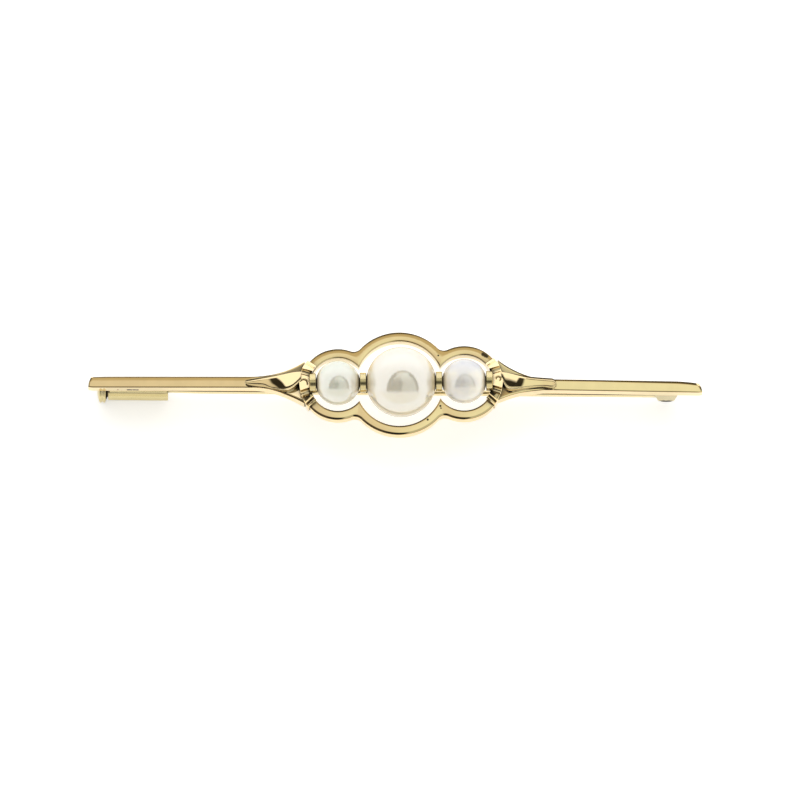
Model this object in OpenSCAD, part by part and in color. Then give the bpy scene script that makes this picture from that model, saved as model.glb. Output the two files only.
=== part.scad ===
// Bar brooch with three pearls in an open frame of three lobes. It lies face up on its hinge
// and catch: X runs along the bar, Y up the face and Z out of the face.

/* [Bar] */
// Length of the bar from end to end
bar_len = 54; // [50:0.5:58]
// Height of the bar's front face
bar_h = 0.96; // [0.9:0.02:1.1]
// Thickness of the bar from front to back
bar_t = 1.15; // [1.0:0.05:1.2]
// How far the ends of the bar lie behind its middle
bow = 0.4; // [0.3:0.1:0.6]
// How far right of the bar's middle the middle pearl sits
mid_x = 0.5; // [0:0.1:0.8]

/* [Pearls] */
// Diameter of the middle pearl
middle_d = 6.18; // [6.1:0.02:6.2]
// Diameter of each side pearl
side_d = 3.92; // [3.8:0.02:4.0]
// Diameter of the gold discs between the pearls
spacer_d = 1.76; // [1.5:0.02:1.8]
// Thickness of the gold discs
spacer_t = 0.46; // [0.4:0.02:0.5]
// Diameter of the wire through the pearls
wire_d = 0.5; // [0.4:0.02:0.56]

/* [Frame] */
// Width of the rim's front face
rim_w = 0.82; // [0.76:0.02:0.9]
// Depth of the rim from front to back
rim_t = 1.1; // [1.0:0.05:1.2]
// Space between the middle pearl and the rim
middle_gap = 0.75; // [0.7:0.01:0.9]
// Space between the left pearl and the rim
left_gap = 0.44; // [0.4:0.02:0.5]
// Space between the right pearl and the rim
right_gap = 0.56; // [0.5:0.02:0.6]
// Radius of the solder fillet in each outer notch of the rim
notch_r = 0.8; // [0.6:0.05:1.0]
// How far left of the middle pearl the big lobe sits
lobe_shift = 0.15; // [0:0.05:0.3]
// Turn of the frame against the bar, in degrees
frame_turn = 1.3; // [0:0.1:1.6]

/* [Collars] */
// Width of a collar along its radius
collar_w = 0.94; // [0.92:0.02:1.0]
// Angle from a collar's middle to each of its ends
collar_deg = 39; // [36:1:42]
// Height of a collar's middle above the rim's front
collar_rise = 1.0; // [0.9:0.05:1.1]
// Drop from a collar's middle to its ends
collar_sag = 0.7; // [0.5:0.05:0.8]
// Angle of each groove from the collar's middle
groove_deg = 18; // [16:1:20]
// Radius of the grooves
groove_r = 0.3; // [0.2:0.02:0.34]

/* [Flares] */
// Height of a flare where it meets its collar
flare_h = 3.7; // [3.4:0.1:4.0]
// Distance from the middle pearl to a flare's narrow end
flare_reach = 13.75; // [13:0.05:14]
// Height of a leaf's tip above the bar's front
leaf_rise = 0.1; // [0.06:0.02:0.16]
// How far a leaf rises from its tip to the collar
leaf_lift = 0.8; // [0.7:0.02:0.84]
// Slope of a flare's dished front on both sides of its leaf, in degrees
dish_deg = 9; // [6:1:12]

/* [Pin and hinge] */
// Diameter of the pin
pin_d = 0.54; // [0.5:0.02:0.56]
// Length of the tapered point
point_len = 7; // [5:0.5:9]
// Space between the pin and the middle pearl
pearl_clear = 0.14; // [0.1:0.02:0.2]
// Distance from the bar's right end to the rivet
hinge_inset = 3.16; // [2.6:0.02:3.6]
// Length of the hinge along the bar
hinge_len = 2.2; // [2.0:0.05:2.3]
// Width of the hinge across both cheeks
hinge_w = 1.0; // [0.98:0.02:1.04]
// Diameter of the rivet
rivet_d = 0.4; // [0.36:0.02:0.46]

/* [Catch] */
// Distance from the bar's left end to the sleeve
catch_inset = 1.73; // [1.6:0.01:1.9]
// Length of the fixed sleeve
sleeve_len = 5.28; // [5.0:0.02:5.5]
// Outer diameter of the fixed sleeve
sleeve_d = 1.8; // [1.76:0.02:1.9]
// Outer diameter of the sliding tube
tube_d = 1.24; // [1.2:0.02:1.28]
// Wall of the sliding tube
tube_wall = 0.17; // [0.14:0.01:0.18]
// Width of the knob across its flats
knob_d = 2.2; // [2.0:0.05:2.3]
// Thickness of the knob at its middle
knob_t = 0.9; // [0.8:0.02:1.0]

/* [Hidden] */
$fn = 64;

LEFT = -1;
RIGHT = 1;
GOLD = "#d8b866";
PEARL = "#efe8df";

// Gap between pieces that lie against each other
play = 0.02;
// Clearance of a piece that turns or slides in another
run_gap = 0.03;
// Extra length of a cut past the face that it opens
past = 0.5;
// Depth to which one soldered shape is sunk into the next
sink = 0.1;

// Heights of the main planes. The knob's lowest flat lies at 0.
pin_z = knob_d / 2;
pearl_z = pin_z + pin_d / 2 + pearl_clear + middle_d / 2;
rim_drop = 0.5;
rim_front_z = pearl_z - rim_drop;
rim_back_z = rim_front_z - rim_t;
bar_rise = 0.1;
bar_front_z = rim_front_z + bar_rise;

// Places along the bar, measured from the middle pearl
spacer_pitch = spacer_t + 2 * play;
side_x = middle_d / 2 + spacer_pitch + side_d / 2;
collar_in_r = side_d / 2 + spacer_pitch;
collar_out_r = collar_in_r + collar_w;
flare_len = flare_reach - side_x - collar_in_r - collar_w / 2;

// Each lobe of the rim
LOBE_X = 0;
LOBE_OPEN_R = 1;
LOBES = [
    [-side_x, side_d / 2 + left_gap],
    [-lobe_shift, middle_d / 2 + middle_gap],
    [side_x, side_d / 2 + right_gap]
];

// Outline of each leaf, drawn from its tip towards the collar
LEFT_LEAF = [
    [0.06, -0.06], [0.22, 0.06], [1, 0.2], [2.7, 0.5], [4.1, 0.71], [4.92, 0.73], [4.92, -0.2],
    [4.55, -0.43], [4.25, -0.65], [3.9, -0.81], [3.45, -0.85], [2, -0.57], [0.9, -0.3], [0.2, -0.16]
];
RIGHT_LEAF = [
    [0.12, 0], [0.2, 0.24], [0.4, 0.38], [0.8, 0.42], [2.4, 0.54], [3.3, 0.68], [4.2, 0.82],
    [4.92, 0.87], [4.92, 0.15], [4.8, 0], [4.55, -0.4], [4.25, -0.6], [3.7, -0.56], [2.4, -0.35],
    [1.3, -0.27], [0.7, -0.38], [0.4, -0.38], [0.2, -0.24]
];
leaf_z = bar_front_z + leaf_rise;
// How high the leaf lies along it, as a share of its full lift
LEAF_RISE = [
    [0, 0], [0.19, 0.01], [0.3, 0.06], [0.42, 0.15], [0.53, 0.3], [0.68, 0.53], [0.83, 0.77], [1, 1]
];
flare_curve = 2.4;
right_root_y = 0.22;

// Each bar end: how far its top corner is cut back and how far its top edge drops
END_SLANT = 0;
END_DROP = 1;
LEFT_END = [0.28, 0.06];
RIGHT_END = [0.42, 0.2];
end_taper_len = 2.6;

wire_hole_r = wire_d / 2 + play;
wire_seat = 0.6;
wire_reach = side_x + collar_in_r + wire_seat;
spacer_bevel = 0.1;

// The cheeks end in a round whose centre lies a little above the rivet
hinge_x = bar_len / 2 - hinge_inset;
cheek_t = 0.22;
cheek_end_r = 0.8;
cheek_end_rise = 0.15;
cheek_end_z = pin_z + cheek_end_rise;
cheek_top_z = bar_front_z - bow - bar_t / 2;
cheek_gap_h = 1.2;
eye_r = 0.6;
eye_w = hinge_w - 2 * cheek_t - 2 * run_gap;
rivet_hole_r = rivet_d / 2 + play;

sleeve_x = -bar_len / 2 + catch_inset;
sleeve_bore_r = tube_d / 2 + run_gap;
slot_clear = 0.12;
slot_w = pin_d + 2 * slot_clear;
web_w = 0.6;
tube_end_gap = 0.2;
knob_sides = 12;
knob_gap = 0.06;
knob_rim_t = 0.44;
knob_hub_r = 0.5;
point_r = 0.05;
point_in = 1;
point_x = sleeve_x + point_in;

function lobe_outer_r(lobe) = lobe[LOBE_OPEN_R] + rim_w;

// Crossing, above the axis, of two circles whose centres lie at xa and xb
function crossing(xa, ra, xb, rb) =
    let (apart = xb - xa, along = (ra * ra - rb * rb + apart * apart) / (2 * apart))
    [xa + along, sqrt(ra * ra - along * along)];

// Point where the line from p touches the right side of a circle around the origin
function touch_point(p, r) =
    let (turn = atan2(p[1], p[0]) - acos(r / norm(p)))
    r * [cos(turn), sin(turn)];

// Edge of a flare at u, from 0 at its narrow end to 1 at its collar. The side is 1 or -1.
function flare_edge(u, root_y, side) =
    [u * flare_len, root_y * pow(u, 4) + side * (bar_h + (flare_h - bar_h) * pow(u, flare_curve)) / 2];

module at_frame() {
    translate([mid_x, 0, 0])
        rotate([0, 0, frame_turn])
            children();
}

module along_x(length, r) {
    rotate([0, 90, 0])
        cylinder(h = length, r = r);
}

// Solder fillet in the notches between two lobes
module notch_fill(a, b) {
    centre = crossing(
        a[LOBE_X], lobe_outer_r(a) + notch_r,
        b[LOBE_X], lobe_outer_r(b) + notch_r
    );
    for (side = [-1, 1])
        difference() {
            polygon([[a[LOBE_X], 0], [b[LOBE_X], 0], [centre[0], side * centre[1]]]);
            translate([centre[0], side * centre[1]])
                circle(r = notch_r);
        }
}

module rim() {
    translate([0, 0, rim_back_z])
        linear_extrude(rim_t)
            difference() {
                union() {
                    for (lobe = LOBES)
                        translate([lobe[LOBE_X], 0])
                            circle(r = lobe_outer_r(lobe));
                    notch_fill(LOBES[0], LOBES[1]);
                    notch_fill(LOBES[1], LOBES[2]);
                }
                for (lobe = LOBES)
                    translate([lobe[LOBE_X], 0])
                        circle(r = lobe[LOBE_OPEN_R]);
            }
}

// Band around the outer side of a side lobe. It arches forward to carry the wire.
module collar(side) {
    half_h = collar_out_r * sin(collar_deg);
    arch_r = (half_h * half_h + collar_sag * collar_sag) / (2 * collar_sag);
    arch_z = rim_front_z + collar_rise - arch_r;
    wedge = 2 * collar_out_r * [cos(collar_deg), sin(collar_deg)];
    translate([side * side_x, 0, 0])
        mirror([side == LEFT ? 1 : 0, 0, 0])
            difference() {
                intersection() {
                    translate([0, 0, rim_back_z])
                        linear_extrude(rim_t + collar_rise)
                            difference() {
                                intersection() {
                                    circle(r = collar_out_r);
                                    polygon([[0, 0], [wedge[0], -wedge[1]], wedge]);
                                }
                                circle(r = collar_in_r);
                            }
                    translate([0, 0, arch_z])
                        along_x(collar_out_r + past, arch_r);
                }
                for (turn = [-groove_deg, groove_deg])
                    translate([0, 0, arch_z + arch_r * cos(groove_deg)])
                        rotate([0, 0, turn])
                            along_x(collar_out_r + past, groove_r);
            }
}

// Trumpet from the bar to a collar, drawn from its narrow end towards +X. Its front is a shallow
// trough, as wide at the bottom as the bar.
module flare_body(root_y) {
    steps = 12;
    upper = [for (i = [0 : steps]) flare_edge(i / steps, root_y, 1)];
    lower = [for (i = [steps : -1 : 0]) flare_edge(i / steps, root_y, -1)];
    rise = (flare_h - bar_h / 2) * tan(dish_deg);
    intersection() {
        translate([0, 0, rim_back_z])
            linear_extrude(rim_t + collar_rise)
                polygon(concat(upper, lower));
        translate([flare_len, 0, 0])
            rotate([90, 0, -90])
                linear_extrude(flare_len)
                    polygon([
                        [-flare_h, rim_back_z], [flare_h, rim_back_z], [flare_h, bar_front_z + rise],
                        [bar_h / 2, bar_front_z], [-bar_h / 2, bar_front_z], [-flare_h, bar_front_z + rise]
                    ]);
    }
}

// Everything below the face of a leaf, whichever way across
module below_leaf_face() {
    face = [for (step = LEAF_RISE) [step[0] * flare_len, leaf_z + step[1] * leaf_lift]];
    translate([0, flare_h, 0])
        rotate([90, 0, 0])
            linear_extrude(2 * flare_h)
                polygon(concat([[flare_len, rim_back_z + sink], [0, rim_back_z + sink]], face));
}

// Raised leaf that rises to the collar
module flare_leaf(leaf) {
    intersection() {
        below_leaf_face();
        linear_extrude(leaf_z + leaf_lift + past)
            polygon(leaf);
    }
}

module flare(side, leaf, root_y) {
    translate([mid_x + side * flare_reach, 0, 0])
        mirror([side == RIGHT ? 1 : 0, 0, 0]) {
            flare_body(root_y);
            flare_leaf(leaf);
        }
}

// Slim bar from a flare's narrow end outwards, leaning back
module bar(side, end) {
    start_x = mid_x + side * flare_reach;
    run = bar_len / 2 - side * start_x;
    translate([start_x, 0, bar_front_z])
        mirror([side == LEFT ? 1 : 0, 0, 0])
            rotate([0, asin(bow / run), 0])
                translate([0, 0, -bar_t])
                    linear_extrude(bar_t)
                        polygon([
                            [-sink, -bar_h / 2], [run, -bar_h / 2],
                            [run - end[END_SLANT], bar_h / 2 - end[END_DROP]],
                            [run - end_taper_len, bar_h / 2], [-sink, bar_h / 2]
                        ]);
}

// Two cheeks that taper from the bar's back to a round end below the rivet
module hinge_cheeks() {
    root = [hinge_len / 2, cheek_top_z - cheek_end_z];
    touch = touch_point(root, cheek_end_r);
    translate([hinge_x, 0, 0])
        difference() {
            translate([0, hinge_w / 2, cheek_end_z])
                rotate([90, 0, 0])
                    linear_extrude(hinge_w)
                        union() {
                            circle(r = cheek_end_r);
                            polygon([touch, root, [-root[0], root[1]], [-touch[0], touch[1]]]);
                        }
            translate([-hinge_len, cheek_t - hinge_w / 2, -past])
                cube([2 * hinge_len, hinge_w - 2 * cheek_t, pin_z + cheek_gap_h + past]);
        }
}

// Fixed sleeve of the catch with the web that joins it to the bar
module catch_sleeve() {
    translate([sleeve_x, 0, pin_z])
        along_x(sleeve_len, sleeve_d / 2);
    translate([sleeve_x + sink, -web_w / 2, pin_z + sleeve_bore_r + sink])
        cube([sleeve_len - 2 * sink, web_w, cheek_top_z - pin_z - sleeve_bore_r - sink]);
}

// Bores, slot and seats that are cut from the soldered piece
module mount_cuts() {
    at_frame()
        for (side = [LEFT, RIGHT])
            translate([0, 0, pearl_z])
                mirror([side == LEFT ? 1 : 0, 0, 0])
                    translate([side_x, 0, 0]) {
                        along_x(wire_reach + play - side_x, wire_hole_r);
                        along_x(side_d / 2 + spacer_pitch, spacer_d / 2 + play);
                    }
    translate([sleeve_x - past, 0, pin_z])
        along_x(sleeve_len + 2 * past, sleeve_bore_r);
    translate([sleeve_x - past, -slot_w / 2, -past])
        cube([sleeve_len + 2 * past, slot_w, pin_z + past]);
    translate([hinge_x, hinge_w, pin_z])
        rotate([90, 0, 0])
            cylinder(h = 2 * hinge_w, r = rivet_hole_r);
}

module mount() {
    color(GOLD)
        difference() {
            union() {
                at_frame() {
                    rim();
                    collar(LEFT);
                    collar(RIGHT);
                }
                flare(LEFT, LEFT_LEAF, 0);
                flare(RIGHT, RIGHT_LEAF, right_root_y);
                bar(LEFT, LEFT_END);
                bar(RIGHT, RIGHT_END);
                hinge_cheeks();
                catch_sleeve();
            }
            mount_cuts();
        }
}

// Drilled pearl with its bore along the wire
module pearl(x, d) {
    bore_r = wire_hole_r + play;
    color(PEARL)
        at_frame()
            translate([x, 0, pearl_z])
                rotate([0, 90, 0])
                    rotate_extrude()
                        intersection() {
                            circle(d = d);
                            translate([bore_r, -d / 2])
                                square(d);
                        }
}

// Gold disc with bevelled edges, standing across the wire at x
module spacer(x) {
    r = spacer_d / 2;
    h = spacer_t / 2;
    color(GOLD)
        at_frame()
            translate([x, 0, pearl_z])
                rotate([0, 90, 0])
                    rotate_extrude()
                        polygon([
                            [wire_hole_r, -h], [r - spacer_bevel, -h], [r, spacer_bevel - h],
                            [r, h - spacer_bevel], [r - spacer_bevel, h], [wire_hole_r, h]
                        ]);
}

module pearl_wire() {
    color(GOLD)
        at_frame()
            translate([-wire_reach, 0, pearl_z])
                along_x(2 * wire_reach, wire_d / 2);
}

module pin_stem() {
    color(GOLD)
        difference() {
            union() {
                translate([hinge_x, eye_w / 2, pin_z])
                    rotate([90, 0, 0])
                        cylinder(h = eye_w, r = eye_r);
                translate([point_x + point_len, 0, pin_z])
                    along_x(hinge_x - eye_r / 2 - point_x - point_len, pin_d / 2);
                translate([point_x, 0, pin_z])
                    rotate([0, 90, 0])
                        cylinder(h = point_len, r1 = point_r, r2 = pin_d / 2);
            }
            translate([hinge_x, hinge_w, pin_z])
                rotate([90, 0, 0])
                    cylinder(h = 2 * hinge_w, r = rivet_hole_r + play);
        }
}

module hinge_rivet() {
    color(GOLD)
        translate([hinge_x, hinge_w / 2, pin_z])
            rotate([90, 0, 0])
                cylinder(h = hinge_w, r = rivet_d / 2);
}

// Sliding tube with its faceted pull knob
module catch_slide() {
    tube_len = sleeve_len - tube_end_gap;
    knob_r = knob_d / 2 / cos(180 / knob_sides);
    color(GOLD)
        translate([sleeve_x, 0, pin_z]) {
            difference() {
                translate([-knob_gap - sink, 0, 0])
                    along_x(tube_len + knob_gap + sink, tube_d / 2);
                along_x(tube_len + past, tube_d / 2 - tube_wall);
            }
            translate([-knob_gap - knob_t / 2, 0, 0])
                rotate([0, 90, 0])
                    intersection() {
                        rotate([0, 0, 180 / knob_sides])
                            cylinder(h = knob_t, r = knob_r, center = true, $fn = knob_sides);
                        rotate_extrude()
                            polygon([
                                [0, -knob_t / 2], [knob_hub_r, -knob_t / 2],
                                [knob_r + play, -knob_rim_t / 2], [knob_r + play, knob_rim_t / 2],
                                [knob_hub_r, knob_t / 2], [0, knob_t / 2]
                            ]);
                    }
        }
}

mount();
pearl(0, middle_d);  // pearl_middle
pearl(-side_x, side_d);  // pearl_left
pearl(side_x, side_d);  // pearl_right
spacer(-side_x - side_d / 2 - spacer_pitch / 2);  // spacer_1
spacer(-middle_d / 2 - spacer_pitch / 2);  // spacer_2
spacer(middle_d / 2 + spacer_pitch / 2);  // spacer_3
spacer(side_x + side_d / 2 + spacer_pitch / 2);  // spacer_4
pearl_wire();
pin_stem();
hinge_rivet();
catch_slide();
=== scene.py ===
"""Gold bar brooch with three pearls, built around its packed construction model."""

import math

import bmesh
import bpy
from mathutils import Matrix, Vector


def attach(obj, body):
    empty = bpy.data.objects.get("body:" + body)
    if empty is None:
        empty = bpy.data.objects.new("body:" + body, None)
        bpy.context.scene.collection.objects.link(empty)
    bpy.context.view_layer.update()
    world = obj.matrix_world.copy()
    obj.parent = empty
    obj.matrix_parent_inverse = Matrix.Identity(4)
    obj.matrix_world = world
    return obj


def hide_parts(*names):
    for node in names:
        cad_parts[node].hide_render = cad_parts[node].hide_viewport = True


bl_info = {
    "name": "Pearl brooch",
    "version": (1, 0, 0),
    "blender": (4, 5, 0),
    "location": "3D View > Sidebar > Brooch",
    "description": "Builds a gold bar brooch with three pearls around its construction model",
    "category": "Object",
}

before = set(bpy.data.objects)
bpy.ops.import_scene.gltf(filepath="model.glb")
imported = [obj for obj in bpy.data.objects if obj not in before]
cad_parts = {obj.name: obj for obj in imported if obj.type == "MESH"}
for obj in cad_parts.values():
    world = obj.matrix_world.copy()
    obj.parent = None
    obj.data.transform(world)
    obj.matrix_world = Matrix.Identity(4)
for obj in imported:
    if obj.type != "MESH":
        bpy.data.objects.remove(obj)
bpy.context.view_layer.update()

# Shapes are worked out in millimetres, as in the part's source, and written in metres
MM = 0.001
LEFT = -1
RIGHT = 1

# Finishes of the scene and the record's material slot that each belongs to
POLISHED_GOLD = "polished gold"
SATIN_GOLD = "satin gold"
DRAWN_GOLD = "drawn gold"
CREAM_PEARL = "cream pearl"
GREENISH_PEARL = "greenish pearl"
ROSY_PEARL = "rosy pearl"

# Heights above the table
PIN_Z = 1.1
RIM_BACK_Z = 3.0
CHEEK_TOP_Z = 3.225
RIM_FRONT_Z = 4.1
BAR_FRONT_Z = 4.2
PEARL_Z = 4.6
COLLAR_TOP_Z = 5.1

# Pearls, and the discs that fill the gaps beside them
SIDE_X = 5.55
MIDDLE_R = 3.09
SIDE_R = 1.96
DISC_GAP = 0.5
DISC_R = 0.88

# The frame with the pearls sits right of the bar's middle and is turned a little
MID_X = 0.5
FRAME_TURN = math.radians(1.3)

# Rim: middle and radius of each opening, width of the metal and rounding of the notches
LOBES = [(-SIDE_X, 2.4), (-0.15, 3.84), (SIDE_X, 2.52)]
RIM_W = 0.82
NOTCH_R = 0.8

# Collars: radii round their pearl, half angle, radius of the arch and place of the grooves
COLLAR_IN_R = 2.46
COLLAR_OUT_R = 3.4
COLLAR_DEG = 39.0
COLLAR_ARCH_R = 3.62
GROOVE_DEG = 18.0
CURL_DEPTH = 0.09

# Bar and flares
BAR_H = 0.96
BAR_T = 1.15
BAR_HALF = 27.0
BOW = 0.4
FLARE_START = 13.75
FLARE_LEN = 5.27
FLARE_H = 3.7
FLARE_CURVE = 2.4

# Hinge, pin and catch
HINGE_X = 23.84
HINGE_HALF_W = 0.5
PIN_R = 0.27
SLEEVE_X = -25.27
SLEEVE_LEN = 5.28
KNOB_R = 1.1


def at_frame(point):
    """Place a point of the pearl frame on the bar."""
    x, y, z = point
    c, s = math.cos(FRAME_TURN), math.sin(FRAME_TURN)
    return (MID_X + c * x - s * y, s * x + c * y, z)


def lerp(a, b, t):
    """Value a share t of the way from a to b."""
    return a + (b - a) * t


def smooth_step(low, high, value):
    """Nought below low, one above high and a smooth change between them."""
    t = min(max((value - low) / (high - low), 0.0), 1.0)
    return t * t * (3 - 2 * t)


def spread(a, b, n):
    """Numbers from a to b in n even steps, both ends kept."""
    return [lerp(a, b, i / n) for i in range(n + 1)]


def side_name(name, side):
    """Name of a piece that there is one of on each side."""
    return name + ("_left" if side == LEFT else "_right")


def make_piece(name, shape, body, material, nodes, sharp=40.0):
    """Make a riding piece from a shape's points, in millimetres, and faces."""
    points, faces = shape
    mesh = bpy.data.meshes.new(name)
    mesh.from_pydata([(x * MM, y * MM, z * MM) for x, y, z in points], [], faces)
    bm = bmesh.new()
    bm.from_mesh(mesh)
    bmesh.ops.remove_doubles(bm, verts=bm.verts, dist=1e-9)
    bmesh.ops.recalc_face_normals(bm, faces=bm.faces)
    bm.to_mesh(mesh)
    bm.free()
    mesh.shade_smooth()
    mesh.set_sharp_from_angle(angle=math.radians(sharp))
    mesh.materials.append(material)
    piece = bpy.data.objects.new(name, mesh)
    bpy.context.scene.collection.objects.link(piece)
    even = piece.modifiers.new("Even normals", "WEIGHTED_NORMAL")
    even.keep_sharp = True
    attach(piece, body)
    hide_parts(*nodes)
    return piece


def loft(rings, wrap=False):
    """Skin a row of closed rings. Without wrap the first and last ring are capped."""
    n = len(rings[0])
    points = [point for ring in rings for point in ring]
    faces = []
    for i in range(len(rings) if wrap else len(rings) - 1):
        a = i * n
        b = (i + 1) % len(rings) * n
        faces.extend((a + k, b + k, b + (k + 1) % n, a + (k + 1) % n) for k in range(n))
    if not wrap:
        faces.append(tuple(range(n)))
        faces.append(tuple(reversed(range(len(points) - n, len(points)))))
    return points, faces


def revolve(profile, centre, turns, place):
    """Turn a closed profile of (along x, radius) around the x axis through a centre."""
    rings = []
    for k in range(turns):
        angle = 2 * math.pi * k / turns
        rings.append([
            place((centre[0] + x, centre[1] + r * math.cos(angle), centre[2] + r * math.sin(angle)))
            for x, r in profile
        ])
    return loft(rings, wrap=True)


def mirrored(half_profile):
    """Closed profile from the half of it on the plus side."""
    return [(-x, r) for x, r in half_profile] + list(reversed(half_profile))


# Rim

LOBE_STEPS = 150
FILLET_STEPS = 14
FRONT_STEPS = 12
FACE_STEPS = 26
BACK_BEVEL = 0.05
# Deepest inset of the rounded edges
EDGE_REACH = 0.2
# Slope of the rim's front at its inner and outer edge, in degrees, where it faces up and down
UP_SLOPES = (0.1, 3.3)
DOWN_SLOPES = (-2.6, 3.3)
# Vertical part of an edge's direction where it starts and ends to count as facing down
FACES_DOWN = (-0.15, 0.35)
# Size of the crisp edge outside, as a share of its full one
OUTER_CRISP = 0.6
# Distance from an edge and drop of the front there: soft where the edge faces down, crisp where it
# faces up, and a deeper soft one that shows as a dark line
SOFT_EDGE = [
    (0.0, 0.058), (0.003, 0.046), (0.012, 0.039), (0.035, 0.028), (0.065, 0.0175), (0.1, 0.008),
    (0.13, 0.002),
]
CRISP_EDGE = [
    (0.0, 0.012), (0.002, 0.0074), (0.012, 0.0068), (0.035, 0.0055), (0.065, 0.0038), (0.1, 0.0017),
    (0.13, 0.0),
]
DARK_EDGE = [
    (0.0, 0.1), (0.003, 0.082), (0.02, 0.066), (0.06, 0.05), (0.1, 0.035), (0.15, 0.018), (0.2, 0.0),
]
EDGE_WIDE = CRISP_EDGE[-1][0]


def crossing(xa, ra, xb, rb):
    """Upper point where two circles on the x axis cross."""
    apart = xb - xa
    along = (ra * ra - rb * rb + apart * apart) / (2 * apart)
    return xa + along, math.sqrt(ra * ra - along * along)


def arc(centre, radius, start, end, steps):
    """Points from start up to, but without, end."""
    return [
        (centre[0] + radius * math.cos(angle), centre[1] + radius * math.sin(angle))
        for angle in spread(start, end, steps)[:-1]
    ]


def opening_loop(inset):
    """Outline of the three openings, moved into the metal by inset."""
    lobes = [(x, r + inset) for x, r in LOBES]
    left = crossing(*lobes[0], *lobes[1])
    right = crossing(*lobes[1], *lobes[2])
    corners = [right, left, (left[0], -left[1]), (right[0], -right[1])]
    points = []
    for k, lobe in enumerate((1, 0, 1, 2)):
        x, r = lobes[lobe]
        start = math.atan2(corners[k][1], corners[k][0] - x)
        end_corner = corners[(k + 1) % 4]
        end = math.atan2(end_corner[1], end_corner[0] - x)
        if end <= start:
            end += 2 * math.pi
        points.extend(arc((x, 0), r, start, end, LOBE_STEPS))
    return points


def outer_loop(inset):
    """Outer outline of the rim with its filled notches, moved into the metal by inset."""
    lobes = [(x, r + sizes().rim_width / MM) for x, r in LOBES]
    notches = [
        crossing(a[0], a[1] + NOTCH_R, b[0], b[1] + NOTCH_R) for a, b in zip(lobes, lobes[1:])
    ]
    (left_x, left_y), (right_x, right_y) = notches
    corners = [(right_x, right_y), (left_x, left_y), (left_x, -left_y), (right_x, -right_y)]
    neighbours = [(2, 0), (1, 1), (0, 2), (1, 1)]
    points = []
    for k, lobe in enumerate((1, 0, 1, 2)):
        x, r = lobes[lobe]
        start = corners[k]
        end = corners[(k + 1) % 4]
        before = lobes[neighbours[k][0]][0]
        after = lobes[neighbours[k][1]][0]

        def angles(corner, other):
            """Directions from a notch's middle to its own middle line and to this lobe."""
            here = math.atan2(-corner[1], x - corner[0])
            there = math.atan2(-corner[1], other - corner[0])
            return (here + there) / 2, here

        fillet_r = NOTCH_R + inset
        middle, touch = angles(start, before)
        points.extend(arc(start, fillet_r, middle, touch, FILLET_STEPS))
        a = math.atan2(start[1], start[0] - x)
        b = math.atan2(end[1], end[0] - x)
        if b <= a:
            b += 2 * math.pi
        points.extend(arc((x, 0), r - inset, a, b, LOBE_STEPS - 2 * FILLET_STEPS))
        middle, touch = angles(end, after)
        points.extend(arc(end, fillet_r, touch, middle, FILLET_STEPS))
    return points


def edge_points(softness, soft_edge=SOFT_EDGE, crisp_size=1.0):
    """Distance from the edge and drop of the front, for an edge between crisp and soft."""
    return [
        (lerp(b[0] * crisp_size, a[0], softness), lerp(b[1] * crisp_size, a[1], softness))
        for a, b in zip(soft_edge, CRISP_EDGE)
    ]


def outward(loop):
    """Vertical part of a closed outline's outward direction at each of its points."""
    falls = []
    for before, after in zip(loop[-1:] + loop[:-1], loop[1:] + loop[:1]):
        run = math.hypot(after[0] - before[0], after[1] - before[1])
        falls.append((before[0] - after[0]) / run)
    return falls


def front_drops(slopes, width):
    """Drop of the rim's front at each step from its inner to its outer edge."""
    drops = [0.0]
    for i in range(FRONT_STEPS):
        tilt = math.radians(lerp(*slopes, (i + 0.5) / FRONT_STEPS))
        drops.append(drops[-1] + width / FRONT_STEPS * math.tan(tilt))
    return drops


def level(loop, z):
    """Flat ring on an outline."""
    return [(x, y, z) for x, y in loop]


def moved_in(loop, deep_loop, insets):
    """Outline moved towards the deepest one, with its own inset at each point."""
    shares = [inset / EDGE_REACH for inset in insets]
    return [
        (lerp(a[0], b[0], share), lerp(a[1], b[1], share))
        for a, b, share in zip(loop, deep_loop, shares)
    ]


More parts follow.
